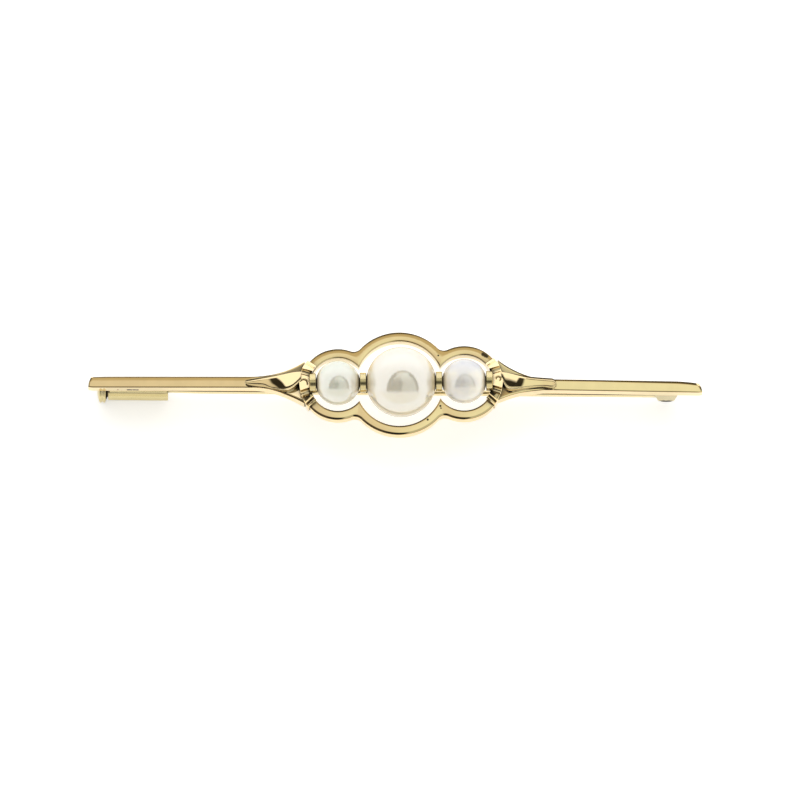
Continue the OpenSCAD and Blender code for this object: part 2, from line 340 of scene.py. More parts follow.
def build_rim(material):
    """Rim round the three pearls, flat behind and rounded in front."""
    inner, outer = opening_loop(0.0), outer_loop(0.0)
    deep_in, deep_out = opening_loop(EDGE_REACH), outer_loop(EDGE_REACH)
    inner_soft = [smooth_step(*FACES_DOWN, fall) for fall in outward(inner)]
    outer_soft = [smooth_step(*FACES_DOWN, -fall) for fall in outward(outer)]
    in_edges = [edge_points(soft) for soft in inner_soft]
    out_edges = [edge_points(soft, DARK_EDGE, OUTER_CRISP) for soft in outer_soft]
    low_in = moved_in(inner, deep_in, [edge[-1][0] for edge in in_edges])
    low_out = moved_in(outer, deep_out, [edge[-1][0] for edge in out_edges])

    width = sizes().rim_width / MM - 2 * EDGE_WIDE
    up_drops, down_drops = front_drops(UP_SLOPES, width), front_drops(DOWN_SLOPES, width)
    drops = [[lerp(up, down, soft) for up, down in zip(up_drops, down_drops)] for soft in inner_soft]

    # Rings round the section: back, inner wall, inner edge, front, outer edge, outer wall
    top, bottom = RIM_FRONT_Z, RIM_BACK_Z
    rings = [level(opening_loop(BACK_BEVEL), bottom), level(inner, bottom + BACK_BEVEL)]
    rings += [level(inner, z) for z in spread(bottom + 0.3, top - 0.3, 2)]
    for k in range(len(SOFT_EDGE)):
        loop = moved_in(inner, deep_in, [edge[k][0] for edge in in_edges])
        rings.append([(x, y, top - edge[k][1]) for (x, y), edge in zip(loop, in_edges)])
    for i in range(1, FRONT_STEPS):
        share = i / FRONT_STEPS
        rings.append([
            (lerp(a[0], b[0], share), lerp(a[1], b[1], share), top - drop[i])
            for a, b, drop in zip(low_in, low_out, drops)
        ])
    for k in reversed(range(len(DARK_EDGE))):
        loop = moved_in(outer, deep_out, [edge[k][0] for edge in out_edges])
        rings.append([
            (x, y, top - drop[-1] - edge[k][1])
            for (x, y), edge, drop in zip(loop, out_edges, drops)
        ])
    rings += [level(outer, z) for z in spread(top - 0.4, bottom + 0.3, 2)]
    rings += [level(outer, bottom + BACK_BEVEL), level(outer_loop(BACK_BEVEL), bottom)]
    shape = loft([[at_frame(point) for point in ring] for ring in rings], wrap=True)
    make_piece("rim", shape, "brooch", material, ["mount"])


# Collars

# Flat facet between the grooves: drop below the crest, and slope
FACET_DROP = 0.03
FACET_SLOPE = 0.1
# Grooves: radius, and drop of that radius's middle below the crest
GROOVE_R = 0.3
GROOVE_DROP = 0.174
# Lips: distance from the collar's end, width, and depth at the upper and the lower end
LIP_INSET = 0.3
LIP_WIDE = 0.09
UPPER_LIP = 0.08
LOWER_LIP = 0.22
# Distance from a collar's side and drop of its front there
COLLAR_EDGE = [(0.0, 0.5), (0.0, 0.09), (0.005, 0.036), (0.04, 0.021), (0.08, 0.012)]
COLLAR_CROWN = 0.03
COLLAR_CROWN_HALF = 0.45
# Chased curls: (radius from the pearl, distance along the collar) of the middle, radius, start and end
CURLS = {LEFT: ((3.03, -0.13), 0.36, 20, 200), RIGHT: ((3.0, 0.05), 0.2, -60, 190)}
CURL_LINE = 0.05
CURL_FADE = 15


def collar_height(theta_deg, rho, crest):
    """Height of a collar's front: an arch with two grooves and a lip at each end."""
    y = rho * math.sin(math.radians(theta_deg))
    z = crest - COLLAR_ARCH_R + math.sqrt(COLLAR_ARCH_R ** 2 - y * y)
    if abs(theta_deg) < GROOVE_DEG:
        z = crest - FACET_DROP - FACET_SLOPE * y
    off = rho * math.sin(math.radians(abs(theta_deg) - GROOVE_DEG))
    if abs(off) < GROOVE_R:
        z = min(z, crest - GROOVE_DROP - math.sqrt(GROOVE_R ** 2 - off * off))
    from_end = math.radians(COLLAR_DEG - abs(theta_deg)) * rho
    lip = UPPER_LIP if theta_deg >= 0 else LOWER_LIP
    return z - lip * math.exp(-((from_end - LIP_INSET) / LIP_WIDE) ** 2)


def collar_mark(side, theta_deg, rho):
    """Share of its full depth that a collar's chased curl has at one place."""
    (middle_rho, middle_along), radius, start, end = CURLS[side]
    out, up = rho - middle_rho, rho * math.radians(theta_deg) - middle_along
    turn = math.degrees(math.atan2(up, out)) % 360
    if turn > 300:
        turn -= 360
    fade_in = smooth_step(start - CURL_FADE, start + CURL_FADE, turn)
    fade_out = smooth_step(end + CURL_FADE, end - CURL_FADE, turn)
    return fade_in * fade_out * math.exp(-((math.hypot(out, up) - radius) / CURL_LINE) ** 2)


def build_collar(side, material):
    """Raised collar with its grooves, lips and chased curl."""
    crest, curl = sizes().collar_crest / MM, sizes().curl_depth / MM
    rings = []
    for theta in spread(-COLLAR_DEG, COLLAR_DEG, 200):
        section = [(COLLAR_IN_R, RIM_BACK_Z)]
        for inset, drop in COLLAR_EDGE:
            rho = COLLAR_IN_R + inset
            section.append((rho, collar_height(theta, rho, crest) - drop))
        for rho in spread(COLLAR_IN_R + 0.12, COLLAR_OUT_R - 0.12, FACE_STEPS):
            off = (rho - (COLLAR_IN_R + COLLAR_OUT_R) / 2) / COLLAR_CROWN_HALF
            drop = COLLAR_CROWN * off * off + curl * collar_mark(side, theta, rho)
            section.append((rho, collar_height(theta, rho, crest) - drop))
        for inset, drop in reversed(COLLAR_EDGE):
            rho = COLLAR_OUT_R - inset
            section.append((rho, collar_height(theta, rho, crest) - drop))
        section.append((COLLAR_OUT_R, RIM_BACK_Z))
        c, s = math.cos(math.radians(theta)), math.sin(math.radians(theta))
        rings.append([at_frame((side * (SIDE_X + rho * c), rho * s, z)) for rho, z in section])
    make_piece(side_name("collar", side), loft(rings), "brooch", material, ["mount"])


# Bar arms with their flares and leaves

# Lower edge of the bar. Sizes of its soft edge below and of its crisp edge above, the latter at the end
# and at the flare, and the distance over which it changes
BAR_LOW = -0.51
BAR_LOW_EDGE = {LEFT: 0.75, RIGHT: 0.8}
BAR_HIGH_EDGE = {LEFT: (0.6, 0.6), RIGHT: (1.8, 1.1)}
HIGH_EDGE_RUN = 9.0
# Depth of the wall below an edge that keeps the rounding narrow
WALL_GUARD = 0.1
# Crown of the bar's front, and its slope from the lower to the upper edge
BAR_CROWN = 0.035
BAR_TILT = {LEFT: 0.0, RIGHT: -0.015}
# Ends of the bar: how far the upper corner slants inwards and how far the upper edge drops
BAR_ENDS = {LEFT: (0.26, 0.04), RIGHT: (0.3, 0.16)}
SLANT_RUN = 3.0
DROP_RUN = 2.6
END_CURVE = {LEFT: 2.2, RIGHT: 1.8}
# Rounding of the front's last edge, and rise of the lower edge over the last stretch
END_ROUND = 0.02
END_LIFT = 0.05
END_LIFT_RUN = 0.3
# Chamfer across each end: its width, its slopes at the lower and upper edge and how they change
END_CHAMFER = {LEFT: (0.18, 0.1, 0.03, 1), RIGHT: (0.26, 0.19, 0.03, 3)}
# Shares of a flare's length are counted from its narrow end. Middle of its wide end above the bar's
# middle line, and growth of its lower and upper edge beyond the curve
FLARE_ROOT_Y = {LEFT: 0.0, RIGHT: 0.22}
EDGE_SHIFT = {LEFT: (-0.12, 0.0), RIGHT: (0.12, 0.1)}
EDGE_SHIFT_SPAN = (0.3, 0.8)
BACK_SPAN = (0.0, 0.3)
# Slopes of a flare's dished front below and above its leaf, and softness of the dish's start
DISH = {LEFT: (0.17, 0.19), RIGHT: (0.05, 0.12)}
DISH_SPAN = (0.0, 0.2)
DISH_BLEND = 0.1
# Share of the dark edge in a flare's lower one
DARK_SHOULDER = {LEFT: 1.0, RIGHT: 0.0}
DARK_SPAN = (0.3, 0.45)

# Leaves, measured from the narrow end of their flare: upper and lower edge from the tip to the collar
LEAF_END = 4.93
LEAF_UPPER = {
    LEFT: [(0.0, 0.0), (1.0, 0.2), (2.7, 0.5), (4.1, 0.71), (4.95, 0.74)],
    RIGHT: [
        (0.1, 0.36), (0.5, 0.41), (0.8, 0.42), (2.4, 0.54), (3.3, 0.68), (4.2, 0.82), (4.95, 0.88),
    ],
}
LEAF_LOWER = {
    LEFT: [
        (0.0, -0.12), (0.3, -0.3), (0.8, -0.44), (2.0, -0.59), (3.0, -0.78), (3.45, -0.85),
        (3.9, -0.81), (4.25, -0.65), (4.55, -0.43), (4.95, -0.1),
    ],
    RIGHT: [
        (0.1, -0.38), (0.6, -0.39), (1.3, -0.27), (2.4, -0.35), (3.7, -0.56), (4.25, -0.6),
        (4.55, -0.4), (4.8, 0.0), (4.95, 0.2),
    ],
}
# How steeply each leaf rises along it
LEAF_SLOPE = {
    LEFT: [
        (0.0, 0.0), (1.2, 0.02), (1.95, 0.09), (2.6, 0.18), (3.25, 0.29), (3.7, 0.38), (4.3, 0.38),
        (4.95, 0.25),
    ],
    RIGHT: [
        (0.0, 0.0), (1.2, 0.0), (2.72, 0.08), (2.78, 0.2), (3.25, 0.29), (3.6, 0.38), (4.6, 0.37),
        (4.95, 0.3),
    ],
}
# Tip: its place, its rounding and the height of the face there
LEAF_TIP = {LEFT: (0.03, 0.12, 4.28), RIGHT: (0.12, 0.4, 4.3)}
LEAF_CROWN = {LEFT: 0.07, RIGHT: 0.05}
# Hollow inside the lower border: its width and depth, and the places along the leaf and the widths of
# the leaf over which it grows
LEAF_SHADE = {LEFT: (0.22, 0.05), RIGHT: (0.15, 0.03)}
SHADE_SPAN = (3.2, 3.8)
SHADE_WIDTHS = (0.25, 0.6)
# Lower border: its width at the tip and at the collar and the stretch where it changes. The shares say
# how much of the leaf's width a border takes at most, and of the border's width its bevel
LEAF_BORDER = {LEFT: (0.3, 0.13, 1.6, 2.4), RIGHT: (0.2, 0.14, 0.6, 1.4)}
BORDER_SHARE = 0.42
BORDER_STEP = 0.02
BORDER_SLOPE = 0.1
UPPER_BORDER = 0.13
UPPER_BORDER_SHARE = 0.25
UPPER_BORDER_SLOPE = 0.11
LEAF_BEVEL = 0.1
BEVEL_SHARE = 0.4
# Skirts that run from a leaf down to the dished front: width and slope, lower and upper
LOW_SKIRT = 0.12
LOW_SKIRT_SLOPE = 0.36
HIGH_SKIRT = 0.16
HIGH_SKIRT_SLOPE = 0.058
SKIRT_LIFT = 0.002
LEAST_WALL = 0.06
LEAF_BACK_Z = 4.0


def curve_at(points, x):
    """Smooth curve through points, at x."""
    k = 0
    while k < len(points) - 2 and x > points[k + 1][0]:
        k += 1

    def slope(i):
        a, b = points[max(i - 1, 0)], points[min(i + 1, len(points) - 1)]
        return (b[1] - a[1]) / (b[0] - a[0])

    wide = points[k + 1][0] - points[k][0]
    t = (x - points[k][0]) / wide
    bend = slope(k) * t * (1 - t) ** 2 - slope(k + 1) * t * t * (1 - t)
    return lerp(points[k][1], points[k + 1][1], t * t * (3 - 2 * t)) + wide * bend


def line_at(points, x):
    """Straight lines through points, at x."""
    for a, b in zip(points, points[1:]):
        if x <= b[0]:
            return lerp(a[1], b[1], (x - a[0]) / (b[0] - a[0]))
    return points[-1][1]


def on_side(side, x, y, z):
    """A point of a flare, measured from its narrow end towards the collar."""
    start = MID_X + side * FLARE_START
    return (start - side * x, y, z)


def flare_edges(side, u):
    """Lower and upper edge of a flare."""
    half = (BAR_H + (FLARE_H - BAR_H) * u ** FLARE_CURVE) / 2
    lower_shift, upper_shift = EDGE_SHIFT[side]
    grown = smooth_step(*EDGE_SHIFT_SPAN, u)
    middle = FLARE_ROOT_Y[side] * u ** 4
    return min(middle - half + lower_shift * grown, BAR_LOW), middle + half + upper_shift * grown


def body_section(low, high, back_z, front, low_edge, high_edge, dark=0.0):
    """Section of the bar or a flare. The function front gives the height of its face at y."""
    low_rows = [
        (lerp(a[0] * low_edge, b[0], dark), lerp(a[1] * low_edge, b[1], dark))
        for a, b in zip(SOFT_EDGE, DARK_EDGE)
    ]
    high_rows = [(inset * high_edge, drop * high_edge) for inset, drop in reversed(CRISP_EDGE)]
    low_y, high_y = low + low_rows[-1][0], high - high_rows[0][0]
    low_z, high_z = front(low_y), front(high_y)
    points = [
        (low, back_z + BACK_BEVEL), (low, lerp(back_z, low_z, 0.5)),
        (low, low_z - low_rows[0][1] - WALL_GUARD),
    ]
    points += [(low + inset, low_z - drop) for inset, drop in low_rows]
    points += [(y, front(y)) for y in spread(low_y, high_y, FACE_STEPS)[1:-1]]
    points += [(high - inset, high_z - drop) for inset, drop in high_rows]
    points += [
        (high, high_z - WALL_GUARD), (high, lerp(back_z, high_z, 0.5)), (high, back_z + BACK_BEVEL),
        (high - BACK_BEVEL, back_z), (low + BACK_BEVEL, back_z),
    ]
    return points


def flare_front(side, u, y):
    """Height of a flare's dished front."""
    below, above = DISH[side]
    off = abs(y) - BAR_H / 2
    rise = (off + math.sqrt(off * off + DISH_BLEND ** 2)) / 2 * smooth_step(*DISH_SPAN, u)
    crown = (BAR_CROWN * y * y + BAR_TILT[side] * y) * max(0.0, 1 - u)
    return BAR_FRONT_Z + (above if y > 0 else below) * rise - crown


def bar_rings(side):
    """Sections of the slim bar, from its end to the flare."""
    run = BAR_HALF - side * (MID_X + side * FLARE_START)
    lean = math.asin(sizes().bar_bow / MM / run)
    slant, end_drop = BAR_ENDS[side]
    end_edge, root_edge = BAR_HIGH_EDGE[side]
    end_wide, low_slope, high_slope, change = END_CHAMFER[side]
    stations = [-run + share * end_wide for share in (0.0, 0.02, 0.5, 1.0)]
    stations += spread(-run + end_wide + 0.07, 0, 60)[:-1]
    rings = []
    for x in stations:
        from_end = run + x
        top = BAR_FRONT_Z + x * math.tan(lean) - (END_ROUND if x == -run else 0.0)
        high = BAR_H / 2 - end_drop * (1 - min(from_end / DROP_RUN, 1.0)) ** 2
        low = BAR_LOW + END_LIFT * max(0.0, 1 - from_end / END_LIFT_RUN)
        chamfered = max(0.0, end_wide - from_end)

        def front(y):
            """Height of the bar's face at y."""
            slope = lerp(low_slope, high_slope, max(0.0, (y - low) / (high - low)) ** change)
            return top - BAR_CROWN * y * y - BAR_TILT[side] * y - chamfered * slope

        high_edge = lerp(end_edge, root_edge, min(from_end / HIGH_EDGE_RUN, 1.0))
        shift = slant * max(0.0, 1 - from_end / SLANT_RUN)
        ring = []
        for y, z in body_section(low, high, top - BAR_T, front, BAR_LOW_EDGE[side], high_edge):
            slanted = shift * max(0.0, (y - low) / (high - low)) ** END_CURVE[side]
            ring.append(on_side(side, x + slanted, y, z + slanted * math.tan(lean)))
        rings.append(ring)
    return rings


def flare_rings(side):
    """Sections of a flare, from the bar to the collar."""
    rings = []
    for u in spread(0, 1, 50):
        low, high = flare_edges(side, u)
        back_z = lerp(BAR_FRONT_Z - BAR_T, RIM_BACK_Z, smooth_step(*BACK_SPAN, u))
        section = body_section(
            low, high, back_z, lambda y: flare_front(side, u, y), BAR_LOW_EDGE[side],
            BAR_HIGH_EDGE[side][1], DARK_SHOULDER[side] * smooth_step(*DARK_SPAN, u),
        )
        rings.append([on_side(side, u * FLARE_LEN, y, z) for y, z in section])
    return rings


def build_arm(side, material):
    """Slim bar and flare of one side, as one body."""
    shape = loft(bar_rings(side) + flare_rings(side))
    make_piece(side_name("arm", side), shape, "brooch", material, ["mount"])


def leaf_section(side, x, low, high, face_z):
    """Section of a leaf between its two edges, with its skirts."""
    wide_border, slim_border, border_from, border_to = LEAF_BORDER[side]
    shade_wide, shade_deep = LEAF_SHADE[side]
    width = high - low
    border = lerp(wide_border, slim_border, smooth_step(border_from, border_to, x))
    border = min(border, BORDER_SHARE * width)
    upper_border = min(UPPER_BORDER, UPPER_BORDER_SHARE * width)
    bevel = min(LEAF_BEVEL, BEVEL_SHARE * border)
    shade = smooth_step(*SHADE_SPAN, x) * smooth_step(*SHADE_WIDTHS, width)
    inner_low, inner_high = low + border, high - upper_border

    def face(y):
        """Height of the leaf's face at y."""
        off = high - y
        near = max(0.0, 1 - (y - inner_low) / shade_wide)
        return face_z - LEAF_CROWN[side] * off * off - shade_deep * shade * near * near

    u = x / FLARE_LEN
    skirt_low = max(low - LOW_SKIRT, flare_edges(side, u)[0] + 0.01)
    skirt_high = high + HIGH_SKIRT
    low_z = flare_front(side, u, skirt_low) + SKIRT_LIFT
    high_z = flare_front(side, u, skirt_high) + SKIRT_LIFT
    border_z = face(inner_low) + BORDER_STEP
    low_rise = min(LOW_SKIRT_SLOPE * (low - skirt_low), border_z - LEAST_WALL - low_z)
    section = [(skirt_low, LEAF_BACK_Z), (skirt_low, low_z), (low, low_z + max(low_rise, 0.0))]
    section += [(low, border_z - 0.4 * bevel), (low + bevel, border_z)]
    section.append((inner_low, border_z - BORDER_SLOPE * (border - bevel)))
    section.append((inner_low + 0.004, face(inner_low) - 0.3 * bevel))
    section += [(y, face(y)) for y in spread(inner_low + bevel, inner_high, FACE_STEPS)]
    section.append((high, face(inner_high) - UPPER_BORDER_SLOPE * upper_border))
    section.append((high, high_z + HIGH_SKIRT_SLOPE * HIGH_SKIRT))
    return section + [(skirt_high, high_z), (skirt_high, LEAF_BACK_Z)]


def build_leaf(side, material):
    """Raised leaf that climbs from the bar to the collar."""
    tip_x, tip_r, face_z = LEAF_TIP[side]
    rings = []
    last_x = tip_x
    for x in spread(tip_x, LEAF_END, 110):
        slope = line_at(LEAF_SLOPE[side], (x + last_x) / 2)
        face_z += slope * (x - last_x) * sizes().leaf_rise
        last_x = x
        low, high = curve_at(LEAF_LOWER[side], x), curve_at(LEAF_UPPER[side], x)
        if x < tip_x + tip_r:
            squeeze = math.sqrt(max(1 - (1 - (x - tip_x) / tip_r) ** 2, 0.001))
            middle, half = (low + high) / 2, (high - low) / 2 * squeeze
            low, high = middle - half, middle + half
        section = leaf_section(side, x, low, high, face_z)
        rings.append([on_side(side, x, y, z) for y, z in section])
    make_piece(side_name("leaf", side), loft(rings), "brooch", material, ["mount"])


# Hinge and pin

# Cheeks: middle of their round foot above the pin, its radius, half width at the bar and how far they go
# into it
FOOT_LIFT = 0.15
FOOT_R = 0.8
ROOT_HALF_W = 1.1
ROOT_SINK = 0.1
CHEEK_IN_Y = 0.28
# Half width of the flat strip between the cheeks' roots, which lies inside the bar
STRIP_HALF_W = 0.3
# Distance from the middle of the hinge and radius there
RIVET_SIDE = [(0.515, 0.0), (0.51, 0.1), (0.495, 0.17), (0.47, 0.2)]
EYE_SIDE = [(0.25, 0.24), (0.25, 0.54), (0.235, 0.585), (0.2, 0.6)]
# Places along the pin's tapered tip and thickness there, as a share of the full one
PIN_TIP = [
    (-24.27, 0.07), (-24.265, 0.15), (-24.2, 0.21), (-22.5, 0.415), (-20.5, 0.65), (-18.5, 0.89),
    (-17.6, 0.97),
]


def on_hinge(point):
    """Place a point that is turned round the rivet."""
    along, x, z = point
    return (HINGE_X + x, along, PIN_Z + z)


def pin_ring(x, radius, corners, start=0.0):
    """Ring round the pin's middle line."""
    return [
        (x, radius * math.cos(angle), PIN_Z + radius * math.sin(angle))
        for angle in spread(start, start + 2 * math.pi, corners)[:-1]
    ]


def cheek_outline(grow):
    """Outline of the hinge in (x, z), grown by a small amount."""
    centre_z = PIN_Z + FOOT_LIFT
    radius = FOOT_R + grow
    root = (ROOT_HALF_W + grow, CHEEK_TOP_Z - centre_z)
    turn = math.atan2(root[1], root[0]) - math.acos(radius / math.hypot(*root))
    points = [(HINGE_X + root[0], CHEEK_TOP_Z + ROOT_SINK)]
    for angle in spread(turn, -math.pi - turn, 48):
        points.append((HINGE_X + radius * math.cos(angle), centre_z + radius * math.sin(angle)))
    points.append((HINGE_X - root[0], CHEEK_TOP_Z + ROOT_SINK))
    return points


def build_hinge(material):
    """Two cheeks, and a flat strip between their roots inside the bar."""
    cheeks = {
        "cheek_front": (-HINGE_HALF_W, -CHEEK_IN_Y),
        "cheek_back": (CHEEK_IN_Y, HINGE_HALF_W),
    }
    for name, (low, high) in cheeks.items():
        stations = [(low, -0.05), (low + 0.015, -0.015), (low + 0.05, 0)]
        stations += [(high - 0.03, 0), (high, -0.03)]
        rings = [[(x, y, z) for x, z in cheek_outline(grow)] for y, grow in stations]
        make_piece(name, loft(rings), "brooch", material, ["mount"])
    outline = cheek_outline(-0.04)
    roots = (outline[0], outline[-1])
    rings = [[(x, y, z) for x, z in roots] for y in (-STRIP_HALF_W, STRIP_HALF_W)]
    make_piece("hinge_root", loft(rings), "brooch", material, ["mount"])


def build_rivet(material):
    """Rivet with domed ends."""
    shape = revolve(mirrored(RIVET_SIDE), (0, 0, 0), 32, on_hinge)
    make_piece("rivet", shape, "brooch", material, ["hinge_rivet"])


def build_pin(material):
    """Tapered pin wire with its flat eye."""
    stations = PIN_TIP + [(x, 1.0) for x in spread(-17.0, HINGE_X - 0.9, 40)]
    stations += [(HINGE_X - 0.5, 0.93), (HINGE_X - 0.35, 0.74)]
    full_r = sizes().pin_thickness / MM / 2
    points, faces = loft([pin_ring(x, share * full_r, 40) for x, share in stations])
    eye_points, eye_faces = revolve(mirrored(EYE_SIDE), (0, 0, 0), 64, on_hinge)
    shift = len(points)
    faces += [tuple(k + shift for k in face) for face in eye_faces]
    make_piece("pin", (points + eye_points, faces), "pin", material, ["pin_stem"])


# Catch

# Sleeve: outer and inner radius, half width of its slot and rounding of the lips, as angles
SLEEVE_OUT_R = 0.9
SLEEVE_IN_R = 0.65
SLOT_HALF_W = 0.39
LIP_TURNS = (0.04, 0.05)
# Half section (y, z) of the web that carries the sleeve
WEB_FLANK = [(0.42, 3.2), (0.3, 2.6), (0.3, 2.1), (0.45, 1.85)]
# Section of the sliding tube: distance from the sleeve's end and radius
TUBE = [
    (-0.16, 0.62), (5.04, 0.62), (5.07, 0.605), (5.08, 0.58), (5.08, 0.48), (5.06, 0.455),
    (5.03, 0.45), (-0.06, 0.45),
]
# Knob: its middle beyond the sleeve's end, its neck, its side with the radius as a share, and its waist
KNOB_BEYOND = 0.51
KNOB_NECK = [(-0.45, 0.36), (-0.45, 0.5)]
KNOB_SIDE = [(-0.3, 0.92), (-0.22, 1.0), (-0.1, 1.0)]
KNOB_WAIST = 0.93
WORN_EDGE = 0.035


def sleeve_section(grow):
    """C-shaped section of the sleeve in (y, z) with rounded lips."""
    gap = SLOT_HALF_W - grow
    points = []
    walls = [(SLEEVE_OUT_R + grow, LIP_TURNS[0], 1), (SLEEVE_IN_R - grow, LIP_TURNS[1], -1)]
    for radius, lip, order in walls:
        opened = math.asin(gap / radius) + lip
        for angle in spread(opened - math.pi / 2, 1.5 * math.pi - opened, 72)[::order]:
            points.append((radius * math.cos(angle), PIN_Z + radius * math.sin(angle)))
    return points


def build_sleeve(material):
    """Open sleeve and the web that carries it."""
    stations = [(0.0, -0.05), (0.012, -0.015), (0.04, 0.0)]
    stations += [(x, 0.0) for x in spread(0.4, SLEEVE_LEN - 0.4, 8)]
    stations += [(SLEEVE_LEN - 0.04, 0.0), (SLEEVE_LEN - 0.012, -0.015), (SLEEVE_LEN, -0.05)]
    rings = [[(SLEEVE_X + x, y, z) for y, z in sleeve_section(grow)] for x, grow in stations]
    make_piece("catch_sleeve", loft(rings), "brooch", material, ["mount"])
    rings = []
    for x, grow in ((0.1, -0.04), (0.14, 0), (SLEEVE_LEN - 0.14, 0), (SLEEVE_LEN - 0.1, -0.04)):
        outline = mirrored([(y + grow, z) for y, z in WEB_FLANK])
        rings.append([(SLEEVE_X + x, y, z) for y, z in outline])
    make_piece("catch_web", loft(rings), "brooch", material, ["mount"])


def build_slide(material):
    """Sliding tube and its gripped knob."""
    shape = revolve(TUBE, (SLEEVE_X, 0, PIN_Z), 72, lambda point: point)
    make_piece("slide_tube", shape, "catch", material, ["catch_slide"])
    knob_sides = sizes().knob_sides
    corner_r = KNOB_R / math.cos(math.pi / knob_sides)
    half = KNOB_NECK + [(x, share * corner_r) for x, share in KNOB_SIDE]
    stations = half + [(0.0, KNOB_WAIST * corner_r)] + [(-x, r) for x, r in reversed(half)]
    middle = SLEEVE_X - KNOB_BEYOND
    rings = [pin_ring(middle + x, r, knob_sides, math.pi / knob_sides) for x, r in stations]
    knob = make_piece("slide_knob", loft(rings), "catch", material, ["catch_slide"], sharp=80)
    edge = knob.modifiers.new("Worn edges", "BEVEL")
    edge.width = WORN_EDGE * MM
    edge.segments = 3
    edge.limit_method = "ANGLE"
    edge.angle_limit = math.radians(20)
    knob.modifiers.move(knob.modifiers.find("Worn edges"), 0)


# Pearls and discs

PEARL_BORE_R = 0.29
BORE_ROUND = 0.03
BORE_DEPTH = 0.5
# Half width of a disc and radius there: bore and raised collar
DISC_MIDDLE = [(0.21, 0.27), (0.23, 0.3), (0.23, 0.5)]
# Half width of a disc's round edge and distance inside its full radius
DISC_EDGE = [(0.28, 0.24), (0.285, 0.1), (0.275, 0.04), (0.24, 0.0)]


def build_pearl(name, x, radius, material, node):
    """Round pearl with a drilled hole along the bar."""
    start = math.asin(PEARL_BORE_R / radius)
    mouth = radius * math.cos(start)
    turn = start + BORE_ROUND / radius
    profile = [(BORE_DEPTH - mouth, PEARL_BORE_R), (BORE_ROUND - mouth, PEARL_BORE_R)]
    for angle in spread(turn, math.pi - turn, 120):
        profile.append((-radius * math.cos(angle), radius * math.sin(angle)))
    profile += [(mouth - BORE_ROUND, PEARL_BORE_R), (mouth - BORE_DEPTH, PEARL_BORE_R)]
    make_piece(name, revolve(profile, (x, 0, PEARL_Z), 160, at_frame), "brooch", material, [node])


def build_discs(material):
    """Four turned discs, one at each side of the pearls."""
    inner, outer = MIDDLE_R + DISC_GAP / 2, SIDE_X + SIDE_R + DISC_GAP / 2
    disc_r = sizes().disc_radius / MM
    profile = mirrored(DISC_MIDDLE + [(x, disc_r - inset) for x, inset in DISC_EDGE])
    for k, x in enumerate((-outer, -inner, inner, outer), 1):
        shape = revolve(profile, (x, 0, PEARL_Z), 96, at_frame)
        make_piece("disc_%d" % k, shape, "brooch", material, ["spacer_%d" % k])


# Materials

# Places and radius of small casting and solder pits on the rim, and of other dark spots; the hinge's
# spots are painted shade
PITS_AND_SHADE_PATCHES = [
    (3.75, 2.59, 4.1, 0.08), (3.97, -2.0, 4.1, 0.1), (4.03, -2.2, 4.1, 0.07), (2.87, -3.25, 4.1, 0.1),
    (7.72, 2.74, 4.1, 0.2), (7.9, 2.64, 4.1, 0.2), (8.02, 2.56, 4.1, 0.16),
    # Dark dots in the gap between the bar and the catch sleeve
    (-24.4, -0.51, 3.12, 0.1), (-23.45, -0.51, 3.16, 0.2), (-23.25, -0.51, 3.14, 0.18),
    (-22.95, -0.51, 3.16, 0.2), (-22.7, -0.51, 3.14, 0.18),
    # Painted shade: a dark patch at the foot of the hinge's front cheek
    (23.45, -0.5, 0.7, 0.24), (23.65, -0.5, 0.7, 0.34), (23.85, -0.5, 0.7, 0.36),
    (24.05, -0.5, 0.7, 0.34), (24.25, -0.5, 0.7, 0.24),
]
# Reach of the creases and hollows that get painted shade, and openness where each starts and ends
CREASE_REACH = 0.4
CREASE_SPAN = (0.3, 0.84)
HOLLOW_REACH = 1.3
HOLLOW_SPAN = (0.5, 0.93)
HOLLOW_SHADE_SHARE = 0.6
SHADE_AND_PIT_SHARE = 0.97
# Fineness of the patches and scuffs in the gold, and of the clouds and grain in the pearls
PATCH_SCALE = 900.0
SCUFF_SCALE = 6000.0
CLOUD_SCALE = 350.0
GRAIN_SCALE = 2500.0
# Roughness of each gold, and how far its scuffs are drawn out along the bar, as their fineness there
GOLD_SURFACE = {POLISHED_GOLD: (0.0, 0.05), SATIN_GOLD: (0.16, 0.3), DRAWN_GOLD: (0.12, 0.02)}
# Shade of the patches, and what scuffs and the painted crease shade and pits add to the roughness
PATCH_SPAN = (0.35, 0.7)
PATCH_TINT = 0.96
SCUFF_ROUGHNESS = 0.05
SHADE_AND_PIT_ROUGHNESS = 0.3
# Height at which each pearl's shade, partly painted light, starts to change, as a share of its radius,
# and its gloss
NACRE = {CREAM_PEARL: (0.0, 3.6), GREENISH_PEARL: (0.0, 3.1), ROSY_PEARL: (0.12, 2.5)}
SHADE_CHANGE = 0.75
CLOUD_SHIFT = 0.3
CLOUD_SPAN = (0.35, 0.65)
# Tan round the drill holes, a painted reflection of the gold discs: where it starts and ends, as shares
# of the radius, and its strength
DISC_REFLECTION_SPAN = (0.7, 0.98)
DISC_REFLECTION_SHARE = 0.8
# Roughness of the pearls and of their grain, and how far light gets into them
PEARL_ROUGHNESS = 0.095
GRAIN_ROUGHNESS = 0.03
LIGHT_REACH = 0.5


def add_math(tree, operation, *values):
    """Result of a sum on sockets or numbers."""
    node = tree.nodes.new("ShaderNodeMath")
    node.operation = operation
    for socket, value in zip(node.inputs, values):
        if isinstance(value, bpy.types.NodeSocket):
            tree.links.new(value, socket)
        else:
            socket.default_value = value
    return node.outputs[0]


def add_distance(tree, across, along):
    """Length of two parts at right angles."""
    squares = [add_math(tree, "MULTIPLY", part, part) for part in (across, along)]
    return add_math(tree, "SQRT", add_math(tree, "ADD", *squares))


